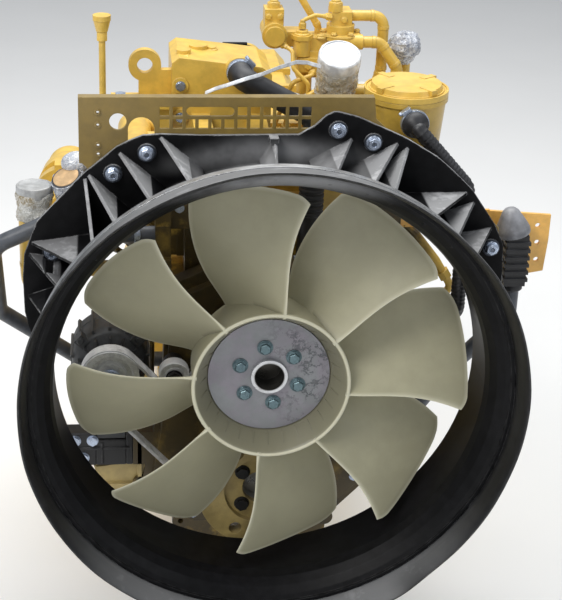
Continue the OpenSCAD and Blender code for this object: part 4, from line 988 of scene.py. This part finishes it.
def make_rollers():
    """The rollers of the idler and the tensioner."""
    bm = bmesh.new()
    lathe(bm, [(10, -850), (15, -850.4), (16, -852), (20.6, -852), (21, -849), *roller_face(25.6),
               (21, -871.4), (20.6, -869), (16, -869), (15, -871), (10, -871)], IDLER, 80)
    new_piece("idler_roller", bm, "sheave_steel", ["idler_pulley"], body="idler", angle=28)
    bm = bmesh.new()
    lathe(bm, [(10, -850), (16, -850), (17, -852.4), (30, -853), (31, -849), *roller_face(35.6),
               (31, -871), (30, -867), (17, -867), (16, -871), (10, -871)], TENSIONER, 96)
    new_piece("tensioner_roller_face", bm, "plastic_black", ["tensioner_pulley"],
              body="tensioner_roller", angle=28)


# Alternator and what carries it

ALTERNATOR_SLOTS = 14
ALTERNATOR_LUGS = (0.7, 2.1, 3.9, 5.5)
BRACKET_BACK = -755.0


def make_alternator():
    """The alternator's cast case: cooling fins round it, slots in its face, and lugs with their screws."""
    x, z = ALTERNATOR
    profile = [(12, -838), (30, -838.6), (32, -837), (44, -833.6), (46, -832), (57, -827), (60, -824),
               (63, -818), (64, -812), (64, -790), (62.6, -788), (62.6, -770), (64, -768), (64, -746),
               (61, -738), (52, -731), (12, -730)]
    bm = bmesh.new()
    lathe(bm, profile, ALTERNATOR, 96)
    centre = Matrix.Translation((x, 0, z))
    for k in range(ALTERNATOR_SLOTS):
        turn = centre @ Matrix.Rotation(2 * math.pi * (k + 0.5) / ALTERNATOR_SLOTS, 4, "Y")
        box(bm, (60, -822, -2.2), (67.4, -738, 2.2), turn)
        box(bm, (33, -840.4, -1.6), (56, -829, 1.6), turn)
    for a in ALTERNATOR_LUGS:
        turn = centre @ Matrix.Rotation(a, 4, "Y")
        box(bm, (56, -830, -9), (74, -812, 9), turn)
        hex_head(bm, turn @ Vector((68, -830, 0)), FORWARD, 9)
    box(bm, (x - 24, -790, 44), (x + 24, -756, 160))
    new_piece("alternator_case", bm, "alloy_dark", ["alternator"], angle=26)


def make_alternator_bracket():
    """The black bracket under the alternator, in three steps with two ribs."""
    bm = bmesh.new()
    for left, right, top in ((-330, -278, 54), (-278, -226, 40), (-226, -214, 54)):
        box(bm, (left, -790, -10), (right, BRACKET_BACK, top))
    box(bm, (-324, -792.5, 22), (-220, -789, 27))
    box(bm, (-270, -792.5, -6), (-265, -789, 36))
    soften(bm, bm.edges, 1.2, 2)
    new_piece("alternator_bracket", bm, "paint_black", angle=35)


def make_mount_arm():
    """The tan casting behind the lower left blades, with its ribs and screws."""
    outline = [(-284, -14), (-268, -66), (-244, -100), (-196, -112), (-150, -96), (-146, 30), (-176, 46),
               (-213, 46), (-213, -14)]
    bm = bmesh.new()
    loft(bm, [[(x, y, z) for x, z in outline] for y in (-782, -748)])
    soften(bm, bm.edges, 4, 3)
    box(bm, (-206, -790, -100), (-199, -778, 40))
    box(bm, (-262, -788, -58), (-204, -778, -50))
    for x, z in ((-232, -78), (-172, -80), (-172, 22)):
        stack(bm, (x, -780, z), FORWARD, [(0, 14), (3, 13), (4, 12)], 32)
        hex_head(bm, (x, -784, z), FORWARD, 13)
    new_piece("mount_arm", bm, "paint_tan", angle=35)


# Wrapped ports

INTAKE_TOP = Vector((127, -709.8, 700.2))
INTAKE_WAY = Vector((0, -0.424, 0.906)).normalized()
TURBO_TOP = Vector((-372, -760, 486))
SMALL_PORT = Vector((-316, -762, 508))
SMALL_WAY = Vector((-24, -24, 62)).normalized()
STRAP_ROUTE = [(-97, -800, 671), (-82, -818, 684), (-65, -838, 696), (-40, -850, 709), (-12, -840, 714),
               (20, -796, 712), (51, -766, 712), (71, -752, 707), (94.5, -741, 697)]


def make_port_caps():
    """The hollow-topped plastic caps on the intake pipe and on the turbocharger's pipe."""
    bm = bmesh.new()
    stack(bm, INTAKE_TOP, INTAKE_WAY,
          [(-9, 33.2), (-9, 35), (-6, 35.6), (9, 35.4), (12, 34.4), (13.6, 32.0), (13.4, 30.6), (11.8, 29.6),
           (11.2, 20), (11.6, 8), (11.8, 0.5)], 64)
    crumple(bm, 0.7, 60)
    new_piece("port_cap_tops", bm, "cap_white", ["port_caps"], angle=40)
    bm = bmesh.new()
    stack(bm, TURBO_TOP, UP, [(0, 29), (1, 29.6), (15, 29.4), (17.5, 28.4), (18, 26.4), (16.6, 25),
                              (16.2, 12), (16.6, 0.5)], 56)
    crumple(bm, 1.2, 60)
    new_piece("left_cap_top", bm, "cap_dull", angle=30)


def add_sleeve(bm, start, way, length, radius, crease, seed):
    """Film drawn tight round a pipe below its cap, with long creases and fine ones."""
    part = bmesh.new()
    route = [start + way * (length * k / 26) for k in range(27)]
    tube(part, route, lambda run: radius - 0.4 + 0.9 * math.sin(run * 0.21) - 0.02 * run, 72)
    crumple(part, crease, 52, seed)
    crumple(part, 1.3, 150, seed)
    spare = bpy.data.meshes.new("spare")
    part.to_mesh(spare)
    part.free()
    bm.from_mesh(spare)
    bpy.data.meshes.remove(spare)


def make_port_film(crease):
    bm = bmesh.new()
    add_sleeve(bm, INTAKE_TOP - INTAKE_WAY * 8, -INTAKE_WAY, 64, 35.4, crease, 1.0)
    add_sleeve(bm, TURBO_TOP + UP * 6, -UP, 46, 30.2, crease, 4.0)
    new_piece("port_film", bm, "film", angle=14)


def make_small_port():
    """The small port at the left: its rubber rim, the paper disc in it and the film bunched round it."""
    bm = bmesh.new()
    stack(bm, SMALL_PORT, SMALL_WAY, [(-10, 21.4), (-8, 24.6), (9, 25.4), (12.4, 24.6), (12.8, 22.6)], 48)
    new_piece("left_port_rim", bm, "hose_rubber", angle=40)
    bm = bmesh.new()
    stack(bm, SMALL_PORT, SMALL_WAY, [(11, 22.4), (13.6, 21.6), (14.4, 14), (14.8, 0.5)], 48)
    new_piece("left_port_paper", bm, "paper_tan", angle=40)
    bm = bmesh.new()
    tube(bm, [SMALL_PORT + SMALL_WAY * (k - 26) for k in range(0, 40, 2)],
         lambda run: 28.5 + 1.6 * math.sin(run * 0.3), 72)
    crumple(bm, 3.4, 48, 9.0)
    crumple(bm, 1.5, 140, 2.0)
    knot = [(k * 2.5, 24 * math.sin(math.pi * (0.10 + 0.88 * k / 16)) ** 0.6) for k in range(17)]
    stack(bm, (-309, -738, 512), (0.25, 0.1, 1), knot, 48)
    new_piece("left_port_film", bm, "film_grey", angle=14)


def make_connector_bag():
    """The film bag over the open end of the pipe at the right rear."""
    levels = [(0, 13), (6, 17), (14, 22), (24, 27), (34, 28), (44, 24), (52, 15), (57, 5)]
    dense = []
    for (h0, r0), (h1, r1) in zip(levels, levels[1:]):
        dense += [(h0 + (h1 - h0) * t / 4, r0 + (r1 - r0) * t / 4) for t in range(4)]
    bm = bmesh.new()
    stack(bm, (266, -560, 654), (-0.12, -0.2, 1), dense + [levels[-1]], 56)
    crumple(bm, 5.0, 36, 7.0)
    crumple(bm, 2.0, 130, 3.0)
    new_piece("connector_bag", bm, "film_grey", angle=14)


def make_strap(width):
    """The flat strap from the tower's front over the coolant hose to the wrapped intake cap."""
    low, high = Vector((-2.0, -1.0, -width / 2)), Vector((-1.0, 1.6, width / 2))
    thick = Vector((0, 0.9, 0.3))
    bm = bmesh.new()
    loft(bm, [[p + low, p + low + thick, p + high + thick, p + high] for p in filleted(STRAP_ROUTE, 14, 4.0)])
    new_piece("tie_strap", bm, "cap_white")


# Fittings of the upper front

# Plugs and hexagons that look up or forward: place, size, washer
PLUGS_UP = (((78, -600, 712), 19, 0), ((136, -582, 762), 15, 0), ((30, -583, 762), 13, 0),
            ((110, -602, 706), 12, 9), ((-130, -752, 712), 16, 12), ((-82, -700, 712), 14, 11))
PLUGS_FORWARD = (((89, -616, 662), 11, 8), ((128, -618, 660), 17, 13), ((96, -606, 650), 9, 7),
                 ((20, -600, 742), 8, 6), ((40, -600, 742), 8, 6), ((150, -592, 735), 8, 6))

# Small pipes between the fittings: route, radius, bend
SMALL_PIPES = (
    ([(96, -612, 650), (96, -630, 650), (60, -640, 640), (30, -640, 560), (30, -640, 545)], 4, 14),
    ([(128, -636, 660), (128, -650, 660), (160, -660, 640), (176, -650, 600), (176, -640, 560)], 5, 14),
    ([(78, -600, 722), (78, -600, 736), (100, -596, 744), (128, -592, 740)], 3.4, 9),
    ([(40, -610, 700), (60, -626, 690), (60, -640, 664), (86, -650, 640), (86, -640, 552)], 3.6, 12),
    ([(146, -606, 650), (146, -640, 646), (110, -660, 640), (50, -664, 600), (50, -650, 560)], 4.4, 14))
BOWL = Vector((146, -580, 0))


def make_fittings():
    """Plugs, hexagons, rings and small pipes of the fuel head and the tower."""
    bm = bmesh.new()
    for way, plugs in ((UP, PLUGS_UP), (FORWARD, PLUGS_FORWARD)):
        for at, size, washer in plugs:
            hex_head(bm, at, way, size, washer)
    for k in range(6):
        a = math.radians(60 * k)
        hex_head(bm, BOWL + Vector((29 * math.cos(a), 29 * math.sin(a), 713)), UP, 8)
    for z in (703, 709):
        stack(bm, BOWL + UP * z, UP, [(-1, 34.5), (0, 35.5), (1, 34.5)], 64)
    for points, r, bend in SMALL_PIPES:
        tube(bm, filleted(points, bend, 3.0), r, 16)
        for end, back in ((points[0], points[1]), (points[-1], points[-2])):
            way = (Vector(back) - Vector(end)).normalized()
            stack(bm, end, way, [(0, r * 1.9), (9, r * 1.9), (11, r * 1.3), (15, r * 1.2)], 6)
    new_piece("front_fittings", bm, "paint_yellow", angle=30)


# Stage: places in metres, angles in degrees

CAMERA_PLACE = (-0.260, -3.227, 1.440)
CAMERA_AZIMUTH = 6.93
CAMERA_PITCH = 24.82
CAMERA_ROLL = 2.18
CAMERA_LENS = 96.0
FLOOR_GAP = 0.0005
WORLD_COLOUR = (0.86, 0.90, 0.95)
WORLD_STRENGTH = 0.42

# Lamps: name, place, what it looks at, size, power in watts, colour
LAMPS = (("key", (-1.9, -2.6, 3.3), (0, -0.9, 0.3), (1.8, 1.4), 92, (1.0, 0.98, 0.95)),
         ("front", (-0.9, -3.5, 0.7), (0, -0.9, 0.2), (1.8, 1.4), 9, (1.0, 0.99, 0.97)),
         ("fill", (2.8, -2.6, 1.8), (0, -0.8, 0.2), (1.6, 1.6), 14, (0.94, 0.97, 1.0)),
         ("overhead", (0.3, 0.2, 3.6), (0, -0.5, 0.4), (2.6, 2.6), 130, (1.0, 1.0, 0.98)))


def aim_camera():
    """The camera as it was fitted to the photo: heading, look down and lean."""
    azimuth, pitch, roll = (math.radians(a) for a in (CAMERA_AZIMUTH, CAMERA_PITCH, CAMERA_ROLL))
    level = Vector((math.sin(azimuth), math.cos(azimuth), 0))
    ahead = level * math.cos(pitch) - UP * math.sin(pitch)
    side = Vector((math.cos(azimuth), -math.sin(azimuth), 0))
    up = side.cross(ahead)
    right = side * math.cos(roll) + up * math.sin(roll)
    top = up * math.cos(roll) - side * math.sin(roll)
    data = bpy.data.cameras.new("camera")
    data.sensor_width = 36.0
    data.lens = CAMERA_LENS
    data.clip_end = 60.0
    camera = bpy.data.objects.new("camera", data)
    bpy.context.collection.objects.link(camera)
    turn = Matrix((right, top, -ahead)).transposed().to_4x4()
    camera.matrix_world = Matrix.Translation(CAMERA_PLACE) @ turn
    bpy.context.scene.camera = camera


def add_lamp(name, place_at, target, size, power, colour):
    data = bpy.data.lights.new(name, "AREA")
    data.shape = "RECTANGLE"
    data.size, data.size_y = size
    data.energy = power
    data.color = colour
    lamp = bpy.data.objects.new(name, data)
    bpy.context.collection.objects.link(lamp)
    lamp.location = place_at
    lamp.rotation_mode = "QUATERNION"
    lamp.rotation_quaternion = (Vector(target) - Vector(place_at)).to_track_quat("-Z", "Y")


def make_floor():
    """A wide pale floor just under the oil pan."""
    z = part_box("oil_pan")[0].z - FLOOR_GAP
    bm = bmesh.new()
    bm.faces.new([bm.verts.new(c) for c in ((-14, -9, z), (14, -9, z), (14, 19, z), (-14, 19, z))])
    mesh = bpy.data.meshes.new("floor")
    bm.to_mesh(mesh)
    bm.free()
    floor = bpy.data.objects.new("floor", mesh)
    bpy.context.collection.objects.link(floor)
    tree, shader = new_material("studio_floor")
    grain = noise(tree, place(tree), 3.0, 3.0, 0.5)
    feed(tree, shader.inputs["Base Color"], mix_colour(tree, grain, (0.80, 0.80, 0.80), (0.84, 0.84, 0.84)))
    shader.inputs["Roughness"].default_value = 0.9
    mesh.materials.append(FINISHES["studio_floor"])


def build_stage():
    """Camera, floor, even light and lamps."""
    aim_camera()
    make_floor()
    world = bpy.data.worlds.new("studio")
    bpy.context.scene.world = world
    world.use_nodes = True
    background = world.node_tree.nodes["Background"].inputs
    background["Color"].default_value = (*WORLD_COLOUR, 1)
    background["Strength"].default_value = WORLD_STRENGTH
    for lamp in LAMPS:
        add_lamp(*lamp)
    bpy.context.scene.view_settings.view_transform = "Standard"


# Finishes

# Nodes whose finish isn't simply that of their slot in the record
# Parts behind the fan, and the front guard, take enamel darkened as painted shade
FINISH_OF = {"gear_housing": "paint_shade_and_grime", "front_cover": "paint_shade_and_grime", "water_pump": "paint_shade_and_grime",
             "fan_bearing": "paint_shade_and_grime", "fan_spacer": "steel_bored", "crank_damper": "paint_tan",
             "crank_bolts": "oxide_black", "front_guard": "paint_guard_shade_and_dirt", "guard_arms": "paint_yellow",
             "breather_canister": "paint_shaded", "side_bracket": "paint_orange"}


def build_effects():
    for build in (build_edge_wear, build_settled_dust, build_cast_skin, build_tool_marks, build_tide_marks,
                  build_fan_shade, build_beyond_radius, build_shroud_dust_and_sheen, build_film_folds):
        build()


def build_paints(enamel):
    """Paints, most of them from the engine's own colour."""
    primer = (0.66, 0.50, 0.20)
    # The enamel, with painted shade on what stands behind the fan
    painted("paint_yellow", enamel, (0.13, 0.085, 0.025), primer, grime=0.16, fan_shade=0.9)
    # The front guard: enamel darkened to 0.30, partly painted shade and partly dirt, with grime and dust
    painted("paint_guard_shade_and_dirt", shade(enamel, 0.30), (0.07, 0.05, 0.015), primer, rough=(0.36, 0.6),
            dust=(0.6, 0.3), grime=0.6)
    painted("paint_shaded", shade(enamel, 0.85), (0.10, 0.07, 0.02), primer, rough=(0.32, 0.5),
            dust=(0.5, 0.2), grime=0.45)
    painted("paint_orange", (0.90, 0.50, 0.11), (0.30, 0.17, 0.04), primer, rough=(0.34, 0.5),
            dust=(0.3, 0.1), grime=0.3)
    painted("paint_tan", (0.48, 0.36, 0.13), (0.05, 0.036, 0.014), (0.62, 0.50, 0.26), rough=(0.4, 0.6),
            dust=(0.6, 0.3), grime=0.85)
    # Enamel darkened to 0.34 as painted shade, with grime patches as dirt and more painted shade behind the
    # fan
    painted("paint_shade_and_grime", shade(enamel, 0.34), (0.03, 0.024, 0.012), (0.30, 0.20, 0.06), rough=(0.45, 0.7),
            dust=(0.4, 0.1), grime=0.8, coat=0.1, fan_shade=0.75)
    painted("paint_black", (0.006, 0.006, 0.007), (0.006, 0.006, 0.006), (0.14, 0.14, 0.15), rough=(0.4, 0.6),
            dust=(0.15, 0.02), grime=0.3, coat=0.05)
    painted("paint_white", (0.66, 0.67, 0.66), (0.30, 0.28, 0.24), (0.5, 0.5, 0.5))


def build_plastics(nylon, shroud):
    """Nylon, mouldings, rubber, paper and film."""
    natural_nylon("nylon_natural", nylon, (0.62, 0.60, 0.46), (0.25, 0.235, 0.16))
    shroud_plastic("plastic_black", shroud, (0.50, 0.505, 0.52))
    moulded("boot_plastic", (0.185, 0.19, 0.21), (0.42, 0.42, 0.43), rough=(0.36, 0.6), dust=(0.6, 0.3))
    moulded("rubber_black", (0.014, 0.014, 0.015), (0.17, 0.175, 0.185), rough=(0.55, 0.8), dust=(0.5, 0.2),
            grain=1400.0, edge=0.35, glance=0.3)
    moulded("hose_rubber", (0.012, 0.012, 0.014), (0.12, 0.125, 0.14), rough=(0.42, 0.7), dust=(0.6, 0.12),
            grain=1400.0)
    moulded("hose_grey", (0.055, 0.062, 0.076), (0.15, 0.16, 0.175), rough=(0.4, 0.65), dust=(0.5, 0.2),
            grain=1400.0, edge=0.4)
    # The seal's pale upper side is partly dust and partly painted sheen
    moulded("seal_rubber", (0.010, 0.010, 0.011), (0.34, 0.345, 0.355), dust=(1.0, 0.04), grain=1600.0,
            edge=0.4, glance=0.35, speck=24.0, steep=0.40, even=0.72)
    # The belt's pale grey is dust, made paler as painted light for the shade it runs in
    moulded("belt_back", (0.74, 0.745, 0.75), (0.86, 0.86, 0.86), rough=(0.25, 0.45), dust=(0.7, 0.6),
            grain=1800.0, width=0.0008)
    moulded("cap_white", (0.70, 0.73, 0.78), (0.50, 0.52, 0.54), rough=(0.22, 0.45), dust=(0.2, 0.2),
            grain=300.0, edge=0.2)
    moulded("cap_dull", (0.36, 0.37, 0.38), (0.30, 0.29, 0.26), rough=(0.25, 0.45), dust=(0.2, 0.3),
            grain=300.0, edge=0.4)
    moulded("paper_tan", (0.50, 0.33, 0.17), (0.42, 0.30, 0.18), rough=(0.6, 0.8), dust=(0.2, 0.3),
            grain=500.0, edge=0.2)
    wrapping("film", (0.46, 0.46, 0.43), (0.22, 0.16, 0.06), 0.85, 0.14)
    wrapping("film_grey", (0.40, 0.43, 0.50), (0.10, 0.11, 0.15), 0.8, 0.16)


def build_metals(disc):
    """Steel, zinc, black oxide and cast alloy."""
    bright, bright_stain = (0.60, 0.61, 0.63), (0.16, 0.15, 0.13)
    metal("steel_bright", bright, bright_stain)
    metal("steel_bored", bright, bright_stain, bore=BORE_R)
    stained_disc("steel_disc", disc, (0.25, 0.235, 0.265), (0.035, 0.04, 0.045))
    metal("zinc", (0.50, 0.57, 0.70), (0.08, 0.09, 0.11), rough=(0.20, 0.44), metallic=0.88,
          marks=(90.0, 2.0), stains=0.6)
    metal("zinc_blue", (0.125, 0.185, 0.205), (0.02, 0.04, 0.06), rough=(0.24, 0.5), metallic=0.75,
          marks=(120.0, 2.0), stains=0.8)
    metal("zinc_dark", (0.055, 0.065, 0.085), (0.012, 0.014, 0.02), rough=(0.3, 0.5), metallic=0.6,
          marks=(120.0, 2.0), stains=0.7)
    metal("oxide_black", (0.022, 0.022, 0.022), (0.06, 0.045, 0.02), rough=(0.35, 0.6), metallic=0.5,
          marks=(90.0, 2.0), stains=0.6)
    # Painted light: pale and barely metallic, to make up for the shade the pulleys sit in
    metal("sheave_steel", (0.90, 0.91, 0.92), (0.36, 0.355, 0.34), rough=(0.30, 0.5), metallic=0.15,
          marks=(110.0, 6.0), stains=0.4)
    metal("alloy_dark", (0.075, 0.077, 0.08), (0.02, 0.02, 0.02), rough=(0.4, 0.6), metallic=0.6,
          marks=(70.0, 1.0), stains=0.6)


def dress_nodes():
    """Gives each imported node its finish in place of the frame's plain material."""
    for name, node in frame["nodes"].items():
        finish = FINISHES[FINISH_OF.get(name, NODE_SLOT[name])]
        if not node.material_slots:
            node.data.materials.append(finish)
        for socket in node.material_slots:
            socket.material = finish


# Add-on

class EngineColours(bpy.types.PropertyGroup):
    enamel: FloatVectorProperty(name="Enamel", description="Colour of the engine's paint", subtype="COLOR",
                                default=(0.72, 0.47, 0.075), min=0, max=1)
    nylon: FloatVectorProperty(name="Nylon", description="Colour of the moulded fan", subtype="COLOR",
                               default=(0.370, 0.352, 0.240), min=0, max=1)
    shroud: FloatVectorProperty(name="Shroud", description="Colour of the moulded shroud", subtype="COLOR",
                                default=(0.0045, 0.0046, 0.0052), min=0, max=1)
    disc: FloatVectorProperty(name="Clamp disc", description="Colour of the steel clamp disc",
                              subtype="COLOR", default=(0.222, 0.230, 0.240), min=0, max=1)


class EngineSizes(bpy.types.PropertyGroup):
    blade: FloatProperty(name="Blade thickness", description="Thickness of a fan blade near its middle",
                         unit="LENGTH", default=2.9 * MM, min=2.0 * MM, max=5.0 * MM, precision=4)
    slack: FloatProperty(name="Seal slack", description="How far the seal's slack place hangs out of round",
                         unit="LENGTH", default=9.0 * MM, min=0.0, max=12.0 * MM, precision=4)
    side_hose: FloatProperty(name="Side hose", description="Outer diameter of the two side hoses",
                             unit="LENGTH", default=27.6 * MM, min=20.0 * MM, max=28.0 * MM, precision=4)
    crease: FloatProperty(name="Film creases", description="Depth of the creases in the film on the ports",
                          unit="LENGTH", default=2.2 * MM, min=0.0, max=4.0 * MM, precision=4)
    strap: FloatProperty(name="Strap", description="Width of the strap on the intake cap",
                         unit="LENGTH", default=5.6 * MM, min=3.0 * MM, max=10.0 * MM, precision=4)


class EngineFinishes(bpy.types.Operator):
    """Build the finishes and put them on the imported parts"""
    bl_idname = "engine.finishes"
    bl_label = "Finishes"

    def execute(self, context):
        colours = context.scene.engine_colours
        build_effects()
        build_paints(colours.enamel)
        build_plastics(colours.nylon, colours.shroud)
        build_metals(colours.disc)
        dress_nodes()
        return {"FINISHED"}


class EngineFan(bpy.types.Operator):
    """Make the moulded fan with its eight blades, its screws and the shroud's"""
    bl_idname = "engine.fan"
    bl_label = "Fan"

    def execute(self, context):
        make_fan(context.scene.engine_sizes.blade / MM)
        make_fan_screws()
        make_shroud_screws()
        return {"FINISHED"}


class EngineSeal(bpy.types.Operator):
    """Make the soft seal on the front of the shroud"""
    bl_idname = "engine.seal"
    bl_label = "Shroud seal"

    def execute(self, context):
        make_seal(context.scene.engine_sizes.slack / MM)
        return {"FINISHED"}


class EngineHoses(bpy.types.Operator):
    """Make the hoses, their clamps, the connector boot and the drain line"""
    bl_idname = "engine.hoses"
    bl_label = "Hoses"

    def execute(self, context):
        make_coolant_hose()
        make_breather_hose()
        make_side_hoses(context.scene.engine_sizes.side_hose / MM)
        make_boot()
        make_drain_line()
        return {"FINISHED"}


class EngineBelt(bpy.types.Operator):
    """Make the ribbed belt, its pulleys, the alternator and what carries it"""
    bl_idname = "engine.belt"
    bl_label = "Belt drive"

    def execute(self, context):
        make_belt()
        make_alternator_pulley()
        make_rollers()
        make_alternator()
        make_alternator_bracket()
        make_mount_arm()
        return {"FINISHED"}


class EnginePorts(bpy.types.Operator):
    """Make the wrapped and capped ports, the strap, and the fittings of the upper front"""
    bl_idname = "engine.ports"
    bl_label = "Ports and fittings"

    def execute(self, context):
        sizes = context.scene.engine_sizes
        make_port_caps()
        make_port_film(sizes.crease / MM)
        make_small_port()
        make_connector_bag()
        make_strap(sizes.strap / MM)
        make_fittings()
        return {"FINISHED"}


class EngineStage(bpy.types.Operator):
    """Make the floor, the lamps and the camera"""
    bl_idname = "engine.stage"
    bl_label = "Stage"

    def execute(self, context):
        build_stage()
        return {"FINISHED"}


OPERATORS = (EngineFinishes, EngineFan, EngineSeal, EngineHoses, EngineBelt, EnginePorts, EngineStage)


class EnginePanel(bpy.types.Panel):
    bl_idname = "VIEW3D_PT_engine"
    bl_label = "Diesel engine"
    bl_space_type = "VIEW_3D"
    bl_region_type = "UI"
    bl_category = "Engine"

    def draw(self, context):
        scene = context.scene
        for name in ("enamel", "nylon", "shroud", "disc"):
            self.layout.prop(scene.engine_colours, name)
        for name in ("blade", "slack", "side_hose", "crease", "strap"):
            self.layout.prop(scene.engine_sizes, name)
        for operator in OPERATORS:
            self.layout.operator(operator.bl_idname)


CLASSES = (EngineColours, EngineSizes, *OPERATORS, EnginePanel)


def register():
    for cls in CLASSES:
        bpy.utils.register_class(cls)
    bpy.types.Scene.engine_colours = PointerProperty(type=EngineColours)
    bpy.types.Scene.engine_sizes = PointerProperty(type=EngineSizes)


def unregister():
    del bpy.types.Scene.engine_sizes
    del bpy.types.Scene.engine_colours
    for cls in reversed(CLASSES):
        bpy.utils.unregister_class(cls)


def main():
    register()
    for operator in OPERATORS:
        group, call = operator.bl_idname.split(".")
        getattr(getattr(bpy.ops, group), call)()


if __name__ == "__main__":
    main()
